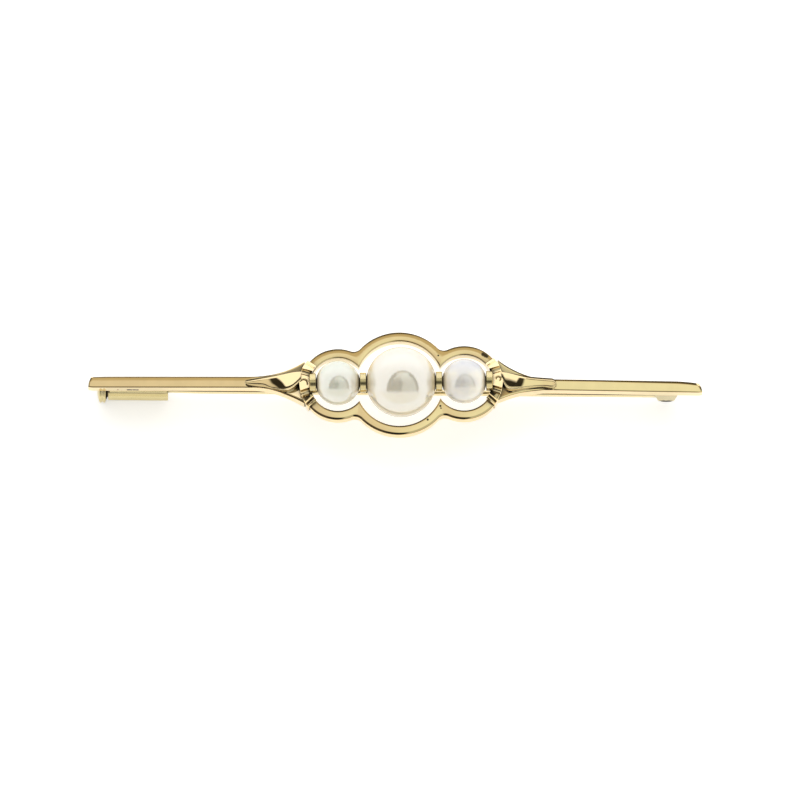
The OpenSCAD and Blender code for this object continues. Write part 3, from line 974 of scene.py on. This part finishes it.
def add_ramp(tree, value, low, high, start=0.0, end=1.0):
    """Smooth change from start to end as the value goes from low to high."""
    node = tree.nodes.new("ShaderNodeMapRange")
    node.interpolation_type = "SMOOTHSTEP"
    tree.links.new(value, node.inputs["Value"])
    limits = {"From Min": low, "From Max": high, "To Min": start, "To Max": end}
    for name, limit in limits.items():
        node.inputs[name].default_value = limit
    return node.outputs["Result"]


def add_mix(tree, factor, a, b):
    """Colour a share, from nought to one, of the way from a to b."""
    node = tree.nodes.new("ShaderNodeMix")
    node.data_type = "RGBA"
    sockets = [node.inputs[0], node.inputs[6], node.inputs[7]]
    for socket, value in zip(sockets, (factor, a, b)):
        if isinstance(value, bpy.types.NodeSocket):
            tree.links.new(value, socket)
        else:
            socket.default_value = (*value, 1.0)
    return node.outputs[2]


def add_noise(tree, vector, scale, detail=2.0, roughness=0.5):
    """Soft random pattern between nought and one."""
    node = tree.nodes.new("ShaderNodeTexNoise")
    node.inputs["Scale"].default_value = scale
    node.inputs["Detail"].default_value = detail
    node.inputs["Roughness"].default_value = roughness
    tree.links.new(vector, node.inputs["Vector"])
    return node.outputs["Fac"]


def add_open(tree, reach):
    """How open the surroundings of a place are, within a reach in millimetres."""
    node = tree.nodes.new("ShaderNodeAmbientOcclusion")
    node.samples = 8
    node.inputs["Distance"].default_value = reach * MM
    return node.outputs["AO"]


def add_bump(tree, shader, height, strength, distance):
    """Fine relief on the surface, its height in millimetres."""
    node = tree.nodes.new("ShaderNodeBump")
    node.inputs["Strength"].default_value = strength
    node.inputs["Distance"].default_value = distance * MM
    tree.links.new(height, node.inputs["Height"])
    tree.links.new(node.outputs["Normal"], shader.inputs["Normal"])


def add_pits_and_shade_patches(tree, coords):
    """One at the middle of each listed pit or painted shade patch and nought outside it."""
    depth = 0.0
    for x, y, z, radius in PITS_AND_SHADE_PATCHES:
        away = tree.nodes.new("ShaderNodeVectorMath")
        away.operation = "DISTANCE"
        tree.links.new(coords, away.inputs[0])
        away.inputs[1].default_value = (x * MM, y * MM, z * MM)
        spot = add_ramp(tree, away.outputs["Value"], 0.6 * radius * MM, 1.3 * radius * MM, 1.0, 0.0)
        depth = add_math(tree, "MAXIMUM", spot, depth)
    return depth


def new_material(name):
    """Empty material, its nodes and its shader."""
    material = bpy.data.materials.new(name)
    material.use_nodes = True
    return material, material.node_tree, material.node_tree.nodes["Principled BSDF"]


def object_coords(tree, scale=(1, 1, 1)):
    """Place on the brooch, stretched by a scale along each axis."""
    coords = tree.nodes.new("ShaderNodeTexCoord")
    mapping = tree.nodes.new("ShaderNodeMapping")
    mapping.inputs["Scale"].default_value = scale
    tree.links.new(coords.outputs["Object"], mapping.inputs["Vector"])
    return mapping.outputs["Vector"]


def make_gold(name, colour):
    """Gold with faint patches, stretched scuffs, painted shade in its hollows and creases, and dark pits
    and painted shade patches.
    """
    material, tree, shader = new_material(name)
    roughness, stretch = GOLD_SURFACE[name]
    coords = object_coords(tree)
    patches = add_noise(tree, coords, PATCH_SCALE)
    scuffs = add_noise(tree, object_coords(tree, (stretch, 1, 1)), SCUFF_SCALE, 4.0, 0.6)
    # Painted shade: creases turn near-black where little light reaches, joined with the listed pits and
    # painted shade patches
    crease_shade_and_pits = add_ramp(tree, add_open(tree, CREASE_REACH), *CREASE_SPAN, 1.0, 0.0)
    crease_shade_and_pits = add_math(tree, "MAXIMUM", crease_shade_and_pits, add_pits_and_shade_patches(tree, coords))
    # Painted shade: deep hollows such as the rim's inner walls beside the pearls turn to the hollow
    # shade colour where little light reaches
    hollow_shade = add_ramp(tree, add_open(tree, HOLLOW_REACH), *HOLLOW_SPAN, 1.0, 0.0)

    darker = tuple(PATCH_TINT * c for c in colour)
    tint = add_mix(tree, add_ramp(tree, patches, *PATCH_SPAN), colour, darker)
    tint = add_mix(tree, add_math(tree, "MULTIPLY", hollow_shade, HOLLOW_SHADE_SHARE), tint, colours().hollow_shade_colour)
    tint = add_mix(tree, add_math(tree, "MULTIPLY", crease_shade_and_pits, SHADE_AND_PIT_SHARE), tint, colours().crease_shade_and_pit_colour)
    tree.links.new(tint, shader.inputs["Base Color"])
    shader.inputs["Metallic"].default_value = 1.0

    wear = add_math(tree, "MULTIPLY", scuffs, SCUFF_ROUGHNESS)
    wear = add_math(tree, "ADD", wear, add_math(tree, "MULTIPLY", crease_shade_and_pits, SHADE_AND_PIT_ROUGHNESS))
    tree.links.new(add_math(tree, "ADD", wear, roughness), shader.inputs["Roughness"])
    add_bump(tree, shader, scuffs, 0.03, 0.02)
    return material


def make_pearl_finish(name, x, radius, lower, upper):
    """Nacre that goes from a lower to an upper shade at one height, partly own tone and partly painted
    light, with a tan round the drill holes that is a painted reflection of the gold discs.
    """
    material, tree, shader = new_material(name)
    change, gloss = NACRE[name]
    coords = object_coords(tree)
    clouds = add_noise(tree, coords, CLOUD_SCALE, 3.0)
    place = tree.nodes.new("ShaderNodeSeparateXYZ")
    tree.links.new(coords, place.inputs[0])
    along, height = [
        add_math(tree, "DIVIDE", add_math(tree, "SUBTRACT", place.outputs[axis], middle * MM), radius)
        for axis, middle in zip("XY", at_frame((x, 0, 0)))
    ]
    height = add_math(tree, "ADD", height, add_math(tree, "MULTIPLY", clouds, CLOUD_SHIFT))
    from_middle = add_math(tree, "ABSOLUTE", along)

    halfway = tuple(lerp(a, b, 0.5) for a, b in zip(lower, upper))
    # Painted light and shade, partly the pearl's own tone: the colour changes from a lower to an upper
    # shade at one height
    tint = add_mix(tree, add_ramp(tree, height, change, change + SHADE_CHANGE), lower, upper)
    tint = add_mix(tree, add_ramp(tree, clouds, *CLOUD_SPAN), tint, halfway)
    # Painted reflection: tan towards the drill holes, where the pearl mirrors the gold discs
    disc_reflection_mask = add_ramp(tree, from_middle, *DISC_REFLECTION_SPAN, 0.0, DISC_REFLECTION_SHARE)
    tint = add_mix(tree, disc_reflection_mask, tint, colours().disc_reflection)
    tree.links.new(tint, shader.inputs["Base Color"])
    shader.inputs["IOR"].default_value = gloss * colours().pearl_gloss
    shader.inputs["Subsurface Weight"].default_value = 0.15
    shader.inputs["Subsurface Radius"].default_value = (0.8, 0.6, 0.4)
    shader.inputs["Subsurface Scale"].default_value = LIGHT_REACH * MM

    grain = add_math(tree, "MULTIPLY", add_noise(tree, coords, GRAIN_SCALE), GRAIN_ROUGHNESS)
    tree.links.new(add_math(tree, "ADD", grain, PEARL_ROUGHNESS), shader.inputs["Roughness"])
    add_bump(tree, shader, clouds, 0.05, 0.05)
    return material


def finish(name):
    """Material made before, by its name."""
    return bpy.data.materials[name]


# Stage

VIEW_ROLL = math.radians(0.48)
VIEW_DISTANCE = 2.0
SENSOR_WIDTH = 36
# Point that the camera looks at, in metres: a place over the brooch, moved in the picture
AIM = Vector((0, 0, 0.0038))
AIM_RIGHT = 0.000409
AIM_DOWN = 0.001366
TABLE_HALF = 0.6

# Light tent. Its angles are degrees to the right and upwards, measured from the direction to the viewer
# The arched opening that the room is seen through
ARCH_RIGHT = 6.0
ARCH_UP = -33.0
ARCH_HALF_WIDTH = 55.0
ARCH_RISE = 71.5
ARCH_EDGE = (0.98, 1.03)
ARCH_FOOT = (-41.0, -24.0)
# Dark line inside the arch: where it starts, lower and upper, its softness and its strength at the top
LINE_START = (0.82, 0.94)
LINE_START_SPAN = (18.0, 34.0)
LINE_SOFT = (0.0, 0.04)
LINE_TOP_SHARE = 0.92
LINE_TOP_SPAN = (20.0, 40.0)
LINE_SHADE = (0.03, 0.027, 0.02)
# Light of the tent above and below, and where it changes
TOP_LIGHT = (1.5, 1.5, 1.5)
TOP_SPAN = (30.0, 75.0)
FOOT_LIGHT = (1.1, 1.06, 0.93)
FOOT_SPAN = (-45.0, -25.0)
# Shades of the room, left and right, in its lower and its upper half
LOWER_ROOM = ((0.07, 0.062, 0.048), (0.52, 0.53, 0.47))
LOWER_ROOM_SPAN = (-1.0, 6.0)
UPPER_ROOM = ((0.77, 0.735, 0.65), (0.88, 0.93, 0.82))
UPPER_ROOM_SPAN = (-3.0, 3.0)
ROOM_HALVES_SPAN = (-2.0, 25.0)
# Brown strip at the top of the opening, and dark dot near its middle
STRIP_SPAN = (30.5, 32.0)
STRIP_SHADE = (0.56, 0.48, 0.32)
DOT_RIGHT = -2.0
DOT_UP = -6.0
DOT_EDGE = (7.0, 11.0)
DOT_SHADE = (0.02, 0.02, 0.02)


def view_axes():
    """Directions to the right, up and back to the viewer."""
    c, s = math.cos(stage().view_elevation), math.sin(stage().view_elevation)
    return Vector((1, 0, 0)), Vector((0, s, c)), Vector((0, -c, s))


def build_camera():
    """Camera that sees the brooch from the front, as it lies."""
    right, up, back = view_axes()
    c, s = math.cos(VIEW_ROLL), math.sin(VIEW_ROLL)
    cam_right = right * c + up * s
    cam_up = up * c - right * s
    target = AIM + cam_right * AIM_RIGHT - cam_up * AIM_DOWN
    camera = bpy.data.objects.new("photo_view", bpy.data.cameras.new("photo_view"))
    camera.data.sensor_width = SENSOR_WIDTH
    camera.data.lens = SENSOR_WIDTH * VIEW_DISTANCE / stage().view_width
    camera.data.clip_end = 100
    rows = Matrix((cam_right, cam_up, back)).transposed().to_4x4()
    rows.translation = target + back * VIEW_DISTANCE
    camera.matrix_world = rows
    bpy.context.scene.collection.objects.link(camera)
    bpy.context.scene.camera = camera


def tent_colour(tree):
    """White light tent with one arched opening, and a room behind it where the viewer stands."""
    coords = tree.nodes.new("ShaderNodeTexCoord").outputs["Generated"]
    right, up, back = view_axes()

    def along(axis):
        """Part of the looked-at direction that points along an axis."""
        node = tree.nodes.new("ShaderNodeVectorMath")
        node.operation = "DOT_PRODUCT"
        tree.links.new(coords, node.inputs[0])
        node.inputs[1].default_value = axis
        return node.outputs["Value"]

    def past(value, place):
        """Distance past a place."""
        return add_math(tree, "SUBTRACT", value, place)

    def blend(value, span, a, b):
        """Colour that goes from a to b as the value crosses a span."""
        return add_mix(tree, add_ramp(tree, value, *span), a, b)

    # Angles to the right and upwards
    away = add_math(tree, "ARCCOSINE", along(back))
    stretch = add_math(tree, "DIVIDE", away, add_math(tree, "SINE", away))
    stretch = add_math(tree, "MULTIPLY", stretch, 180 / math.pi)
    side = add_math(tree, "MULTIPLY", along(right), stretch)
    rise = add_math(tree, "MULTIPLY", along(up), stretch)

    # The opening and the dark line inside its edge
    across = add_math(tree, "DIVIDE", past(side, ARCH_RIGHT), ARCH_HALF_WIDTH)
    above = add_math(tree, "DIVIDE", past(rise, ARCH_UP), ARCH_RISE)
    outward_share = add_distance(tree, across, above)
    under_arch = add_ramp(tree, outward_share, *ARCH_EDGE, 1.0, 0.0)
    inside = add_math(tree, "MULTIPLY", under_arch, add_ramp(tree, rise, *ARCH_FOOT))
    line_start = add_ramp(tree, rise, *LINE_START_SPAN, *LINE_START)
    line = add_ramp(tree, past(outward_share, line_start), *LINE_SOFT)
    line = add_math(tree, "MULTIPLY", line, add_ramp(tree, rise, *LINE_TOP_SPAN, 1.0, LINE_TOP_SHARE))

    tent = blend(rise, TOP_SPAN, (stage().tent_glow,) * 3, TOP_LIGHT)
    tent = add_mix(tree, add_ramp(tree, rise, *FOOT_SPAN, 1.0, 0.0), tent, FOOT_LIGHT)
    lower = blend(side, LOWER_ROOM_SPAN, *LOWER_ROOM)
    upper = blend(side, UPPER_ROOM_SPAN, *UPPER_ROOM)
    room = blend(rise, ROOM_HALVES_SPAN, lower, upper)
    room = blend(rise, STRIP_SPAN, room, STRIP_SHADE)
    room = add_mix(tree, line, room, LINE_SHADE)
    dot = add_distance(tree, past(side, DOT_RIGHT), past(rise, DOT_UP))
    room = add_mix(tree, add_ramp(tree, dot, *DOT_EDGE, 1.0, 0.0), room, DOT_SHADE)
    return add_mix(tree, inside, tent, room)


def build_world():
    """Show the light tent to the brooch, and plain white to the camera."""
    world = bpy.data.worlds.new("light_tent")
    bpy.context.scene.world = world
    world.use_nodes = True
    tree = world.node_tree
    tree.nodes.clear()
    tent = tree.nodes.new("ShaderNodeBackground")
    tree.links.new(tent_colour(tree), tent.inputs["Color"])
    plain = tree.nodes.new("ShaderNodeBackground")
    plain.inputs["Color"].default_value = (1, 1, 1, 1)
    path = tree.nodes.new("ShaderNodeLightPath")
    mix = tree.nodes.new("ShaderNodeMixShader")
    sources = (path.outputs["Is Camera Ray"], tent.outputs[0], plain.outputs[0])
    for source, socket in zip(sources, mix.inputs):
        tree.links.new(source, socket)
    output = tree.nodes.new("ShaderNodeOutputWorld")
    tree.links.new(mix.outputs[0], output.inputs["Surface"])


def build_floor():
    """White table that the brooch lies on."""
    mesh = bpy.data.meshes.new("table")
    corners = [(TABLE_HALF * x, TABLE_HALF * y, 0) for x, y in ((-1, -1), (1, -1), (1, 1), (-1, 1))]
    mesh.from_pydata(corners, [], [(0, 1, 2, 3)])
    floor = bpy.data.objects.new("table", mesh)
    bpy.context.scene.collection.objects.link(floor)
    material, tree, shader = new_material("table_white")
    grain = add_noise(tree, object_coords(tree), 400.0)
    tint = add_mix(tree, grain, (0.93, 0.93, 0.93), (0.95, 0.95, 0.95))
    tree.links.new(tint, shader.inputs["Base Color"])
    shader.inputs["Roughness"].default_value = 0.9
    shader.inputs["Specular IOR Level"].default_value = 0.1
    shader.inputs["Emission Color"].default_value = (1, 1, 1, 1)
    shader.inputs["Emission Strength"].default_value = stage().table_glow
    mesh.materials.append(material)


# Settings


class BroochSizes(bpy.types.PropertyGroup):
    """Sizes of the brooch."""

    rim_width: bpy.props.FloatProperty(
        name="Rim width", description="Width of the rim round the pearls, seen from the front",
        default=RIM_W * MM, min=0.0003, max=0.0015, precision=3, unit="LENGTH",
    )
    collar_crest: bpy.props.FloatProperty(
        name="Collar height", description="Height of the collars' crests above the table",
        default=COLLAR_TOP_Z * MM, min=0.0045, max=0.006, precision=3, unit="LENGTH",
    )
    curl_depth: bpy.props.FloatProperty(
        name="Curl depth", description="Depth of the chased curl on each collar",
        default=CURL_DEPTH * MM, min=0.0, max=0.0002, precision=4, unit="LENGTH",
    )
    bar_bow: bpy.props.FloatProperty(
        name="Bar bow", description="How far the ends of the bar fall back from its middle",
        default=BOW * MM, min=0.0, max=0.001, precision=3, unit="LENGTH",
    )
    leaf_rise: bpy.props.FloatProperty(
        name="Leaf rise", description="Steepness of the leaves, as a share of their own",
        default=1.0, min=0.5, max=1.1, subtype="FACTOR",
    )
    pin_thickness: bpy.props.FloatProperty(
        name="Pin thickness", description="Diameter of the pin wire",
        default=2 * PIN_R * MM, min=0.0003, max=0.0006, precision=3, unit="LENGTH",
    )
    knob_sides: bpy.props.IntProperty(
        name="Knob sides", description="Number of grips round the knob of the sliding catch",
        default=12, min=8, max=24,
    )
    middle_pearl: bpy.props.FloatProperty(
        name="Middle pearl", description="Radius of the middle pearl",
        default=MIDDLE_R * MM, min=0.0025, max=0.00309, precision=3, unit="LENGTH",
    )
    side_pearls: bpy.props.FloatProperty(
        name="Side pearls", description="Radius of the two side pearls",
        default=SIDE_R * MM, min=0.0015, max=0.00196, precision=3, unit="LENGTH",
    )
    disc_radius: bpy.props.FloatProperty(
        name="Disc radius", description="Radius of the gold discs beside the pearls",
        default=DISC_R * MM, min=0.0006, max=0.0009, precision=3, unit="LENGTH",
    )


class BroochColours(bpy.types.PropertyGroup):
    """Colours, polish and painted shades of the brooch."""

    polished_gold: bpy.props.FloatVectorProperty(
        name="Polished gold", description="Colour of the rim, collars, bar and leaves",
        default=(0.97, 0.776, 0.44), min=0.0, max=1.0, size=3, subtype="COLOR",
    )
    # Darker than the polished gold: its darkness is painted shade, a shaded copy of the gold; the satin
    # finish is its roughness
    satin_shaded_gold: bpy.props.FloatVectorProperty(
        name="Satin gold", description="Colour of the discs, the hinge and the catch",
        default=(0.66, 0.56, 0.3), min=0.0, max=1.0, size=3, subtype="COLOR",
    )
    drawn_gold: bpy.props.FloatVectorProperty(
        name="Drawn gold", description="Colour of the pin and its rivet",
        default=(0.87, 0.76, 0.5), min=0.0, max=1.0, size=3, subtype="COLOR",
    )
    # Colour of the painted shade in deep hollows
    hollow_shade_colour: bpy.props.FloatVectorProperty(
        name="Tarnish", description="Colour of the metal in hollows",
        default=(0.42, 0.36, 0.25), min=0.0, max=1.0, size=3, subtype="COLOR",
    )
    # Colour of the painted shade in creases and of the pits
    crease_shade_and_pit_colour: bpy.props.FloatVectorProperty(
        name="Grime", description="Colour of the dirt in creases and pits",
        default=(0.04, 0.028, 0.014), min=0.0, max=1.0, size=3, subtype="COLOR",
    )
    # Lower and upper shades of the pearls: partly their own tone, partly painted light and shade
    middle_pearl_low: bpy.props.FloatVectorProperty(
        name="Middle pearl, lower", description="Shade of the middle pearl's lower half",
        default=(0.86, 0.8, 0.66), min=0.0, max=1.0, size=3, subtype="COLOR",
    )
    middle_pearl_high: bpy.props.FloatVectorProperty(
        name="Middle pearl, upper", description="Shade of the middle pearl's upper half",
        default=(0.84, 0.79, 0.69), min=0.0, max=1.0, size=3, subtype="COLOR",
    )
    left_pearl_low: bpy.props.FloatVectorProperty(
        name="Left pearl, lower", description="Shade of the left pearl's lower half",
        default=(0.9, 0.86, 0.75), min=0.0, max=1.0, size=3, subtype="COLOR",
    )
    left_pearl_high: bpy.props.FloatVectorProperty(
        name="Left pearl, upper", description="Shade of the left pearl's upper half",
        default=(0.7, 0.74, 0.63), min=0.0, max=1.0, size=3, subtype="COLOR",
    )
    right_pearl_low: bpy.props.FloatVectorProperty(
        name="Right pearl, lower", description="Shade of the right pearl's lower half",
        default=(1.0, 0.94, 0.81), min=0.0, max=1.0, size=3, subtype="COLOR",
    )
    right_pearl_high: bpy.props.FloatVectorProperty(
        name="Right pearl, upper", description="Shade of the right pearl's upper half",
        default=(0.56, 0.58, 0.68), min=0.0, max=1.0, size=3, subtype="COLOR",
    )
    # Colour of the painted reflection of the gold discs on the pearls
    disc_reflection: bpy.props.FloatVectorProperty(
        name="Round the drill holes", description="Shade of the pearls next to the discs",
        default=(0.56, 0.44, 0.24), min=0.0, max=1.0, size=3, subtype="COLOR",
    )
    pearl_gloss: bpy.props.FloatProperty(
        name="Pearl gloss", description="Gloss of the pearls, as a share of their own",
        default=1.0, min=0.5, max=1.2, subtype="FACTOR",
    )


class BroochStage(bpy.types.PropertyGroup):
    """View and light."""

    view_width: bpy.props.FloatProperty(
        name="View width", description="Width of the picture at the brooch",
        default=0.07034, min=0.02, max=0.5, precision=4, unit="LENGTH",
    )
    view_elevation: bpy.props.FloatProperty(
        name="View elevation", description="Angle of the view above the table",
        default=math.radians(75), min=0.2, max=1.55, unit="ROTATION",
    )
    tent_glow: bpy.props.FloatProperty(
        name="Tent brightness", description="Brightness of the white light tent",
        default=1.22, min=0.1, max=5.0,
    )
    table_glow: bpy.props.FloatProperty(
        name="Table brightness", description="Light added by the white table",
        default=0.42, min=0.0, max=2.0,
    )


def sizes():
    """Sizes set for this scene, in metres."""
    return bpy.context.scene.brooch_sizes


def colours():
    """Colours and polish set for this scene."""
    return bpy.context.scene.brooch_colours


def stage():
    """View and light set for this scene."""
    return bpy.context.scene.brooch_stage


# Steps


class BROOCH_OT_finishes(bpy.types.Operator):
    """Make the gold and pearl materials"""
    bl_idname = "brooch.finishes"
    bl_label = "Finishes"

    def execute(self, context):
        tones = colours()
        make_gold(POLISHED_GOLD, tones.polished_gold)
        make_gold(SATIN_GOLD, tones.satin_shaded_gold)
        make_gold(DRAWN_GOLD, tones.drawn_gold)
        big, small = sizes().middle_pearl, sizes().side_pearls
        make_pearl_finish(CREAM_PEARL, 0.0, big, tones.middle_pearl_low, tones.middle_pearl_high)
        make_pearl_finish(GREENISH_PEARL, -SIDE_X, small, tones.left_pearl_low, tones.left_pearl_high)
        make_pearl_finish(ROSY_PEARL, SIDE_X, small, tones.right_pearl_low, tones.right_pearl_high)
        return {"FINISHED"}


class BROOCH_OT_rim(bpy.types.Operator):
    """Build the rim round the three pearls"""
    bl_idname = "brooch.rim"
    bl_label = "Rim"

    def execute(self, context):
        build_rim(finish(POLISHED_GOLD))
        return {"FINISHED"}


class BROOCH_OT_collars(bpy.types.Operator):
    """Build the chased collar at each end of the rim"""
    bl_idname = "brooch.collars"
    bl_label = "Collars"

    def execute(self, context):
        build_collar(LEFT, finish(POLISHED_GOLD))
        build_collar(RIGHT, finish(POLISHED_GOLD))
        return {"FINISHED"}


class BROOCH_OT_arms(bpy.types.Operator):
    """Build the two arms of the bar with their flares"""
    bl_idname = "brooch.arms"
    bl_label = "Bar arms"

    def execute(self, context):
        build_arm(LEFT, finish(POLISHED_GOLD))
        build_arm(RIGHT, finish(POLISHED_GOLD))
        return {"FINISHED"}


class BROOCH_OT_leaves(bpy.types.Operator):
    """Build the raised leaf on each flare"""
    bl_idname = "brooch.leaves"
    bl_label = "Leaves"

    def execute(self, context):
        build_leaf(LEFT, finish(POLISHED_GOLD))
        build_leaf(RIGHT, finish(POLISHED_GOLD))
        return {"FINISHED"}


class BROOCH_OT_pearls(bpy.types.Operator):
    """Build the three drilled pearls"""
    bl_idname = "brooch.pearls"
    bl_label = "Pearls"

    def execute(self, context):
        big, small = sizes().middle_pearl / MM, sizes().side_pearls / MM
        build_pearl("pearl_round_middle", 0.0, big, finish(CREAM_PEARL), "pearl_middle")
        build_pearl("pearl_round_left", -SIDE_X, small, finish(GREENISH_PEARL), "pearl_left")
        build_pearl("pearl_round_right", SIDE_X, small, finish(ROSY_PEARL), "pearl_right")
        return {"FINISHED"}


class BROOCH_OT_discs(bpy.types.Operator):
    """Build the four discs beside the pearls and finish the wire that carries them"""
    bl_idname = "brooch.discs"
    bl_label = "Discs and wire"

    def execute(self, context):
        build_discs(finish(SATIN_GOLD))
        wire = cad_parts["pearl_wire"]
        wire.data.materials.clear()
        wire.data.materials.append(finish(POLISHED_GOLD))
        return {"FINISHED"}


class BROOCH_OT_hinge(bpy.types.Operator):
    """Build the hinge of the pin with its rivet"""
    bl_idname = "brooch.hinge"
    bl_label = "Hinge"

    def execute(self, context):
        build_hinge(finish(SATIN_GOLD))
        build_rivet(finish(DRAWN_GOLD))
        return {"FINISHED"}


class BROOCH_OT_sleeve(bpy.types.Operator):
    """Build the open sleeve that the sliding catch runs in"""
    bl_idname = "brooch.sleeve"
    bl_label = "Catch sleeve"

    def execute(self, context):
        build_sleeve(finish(SATIN_GOLD))
        return {"FINISHED"}


class BROOCH_OT_pin(bpy.types.Operator):
    """Build the pin that swings on the hinge"""
    bl_idname = "brooch.pin"
    bl_label = "Pin"

    def execute(self, context):
        build_pin(finish(DRAWN_GOLD))
        return {"FINISHED"}


class BROOCH_OT_slide(bpy.types.Operator):
    """Build the sliding tube of the catch with its knob"""
    bl_idname = "brooch.slide"
    bl_label = "Sliding catch"

    def execute(self, context):
        build_slide(finish(SATIN_GOLD))
        return {"FINISHED"}


class BROOCH_OT_stage(bpy.types.Operator):
    """Set the camera, the light tent and the table"""
    bl_idname = "brooch.stage"
    bl_label = "Stage"

    def execute(self, context):
        build_camera()
        build_world()
        build_floor()
        context.scene.view_settings.view_transform = "Standard"
        return {"FINISHED"}


class BROOCH_PT_panel(bpy.types.Panel):
    """Sizes, colours and pieces of the brooch"""
    bl_idname = "BROOCH_PT_panel"
    bl_label = "Pearl brooch"
    bl_space_type = "VIEW_3D"
    bl_region_type = "UI"
    bl_category = "Brooch"

    def draw(self, context):
        for group in (sizes(), colours(), stage()):
            box = self.layout.box()
            for name in group.__annotations__:
                box.prop(group, name)
        column = self.layout.column(align=True)
        for step in STEPS:
            column.operator(step.bl_idname)


# The operators in the order they run
STEPS = (
    BROOCH_OT_finishes,
    BROOCH_OT_rim,
    BROOCH_OT_collars,
    BROOCH_OT_arms,
    BROOCH_OT_leaves,
    BROOCH_OT_pearls,
    BROOCH_OT_discs,
    BROOCH_OT_hinge,
    BROOCH_OT_sleeve,
    BROOCH_OT_pin,
    BROOCH_OT_slide,
    BROOCH_OT_stage,
)
CLASSES = (BroochSizes, BroochColours, BroochStage, *STEPS, BROOCH_PT_panel)


def register():
    for cls in CLASSES:
        bpy.utils.register_class(cls)
    bpy.types.Scene.brooch_sizes = bpy.props.PointerProperty(type=BroochSizes)
    bpy.types.Scene.brooch_colours = bpy.props.PointerProperty(type=BroochColours)
    bpy.types.Scene.brooch_stage = bpy.props.PointerProperty(type=BroochStage)


def unregister():
    del bpy.types.Scene.brooch_stage
    del bpy.types.Scene.brooch_colours
    del bpy.types.Scene.brooch_sizes
    for cls in reversed(CLASSES):
        bpy.utils.unregister_class(cls)


def main():
    register()
    bpy.ops.brooch.finishes()
    bpy.ops.brooch.rim()
    bpy.ops.brooch.collars()
    bpy.ops.brooch.arms()
    bpy.ops.brooch.leaves()
    bpy.ops.brooch.pearls()
    bpy.ops.brooch.discs()
    bpy.ops.brooch.hinge()
    bpy.ops.brooch.sleeve()
    bpy.ops.brooch.pin()
    bpy.ops.brooch.slide()
    bpy.ops.brooch.stage()


if __name__ == "__main__":
    main()
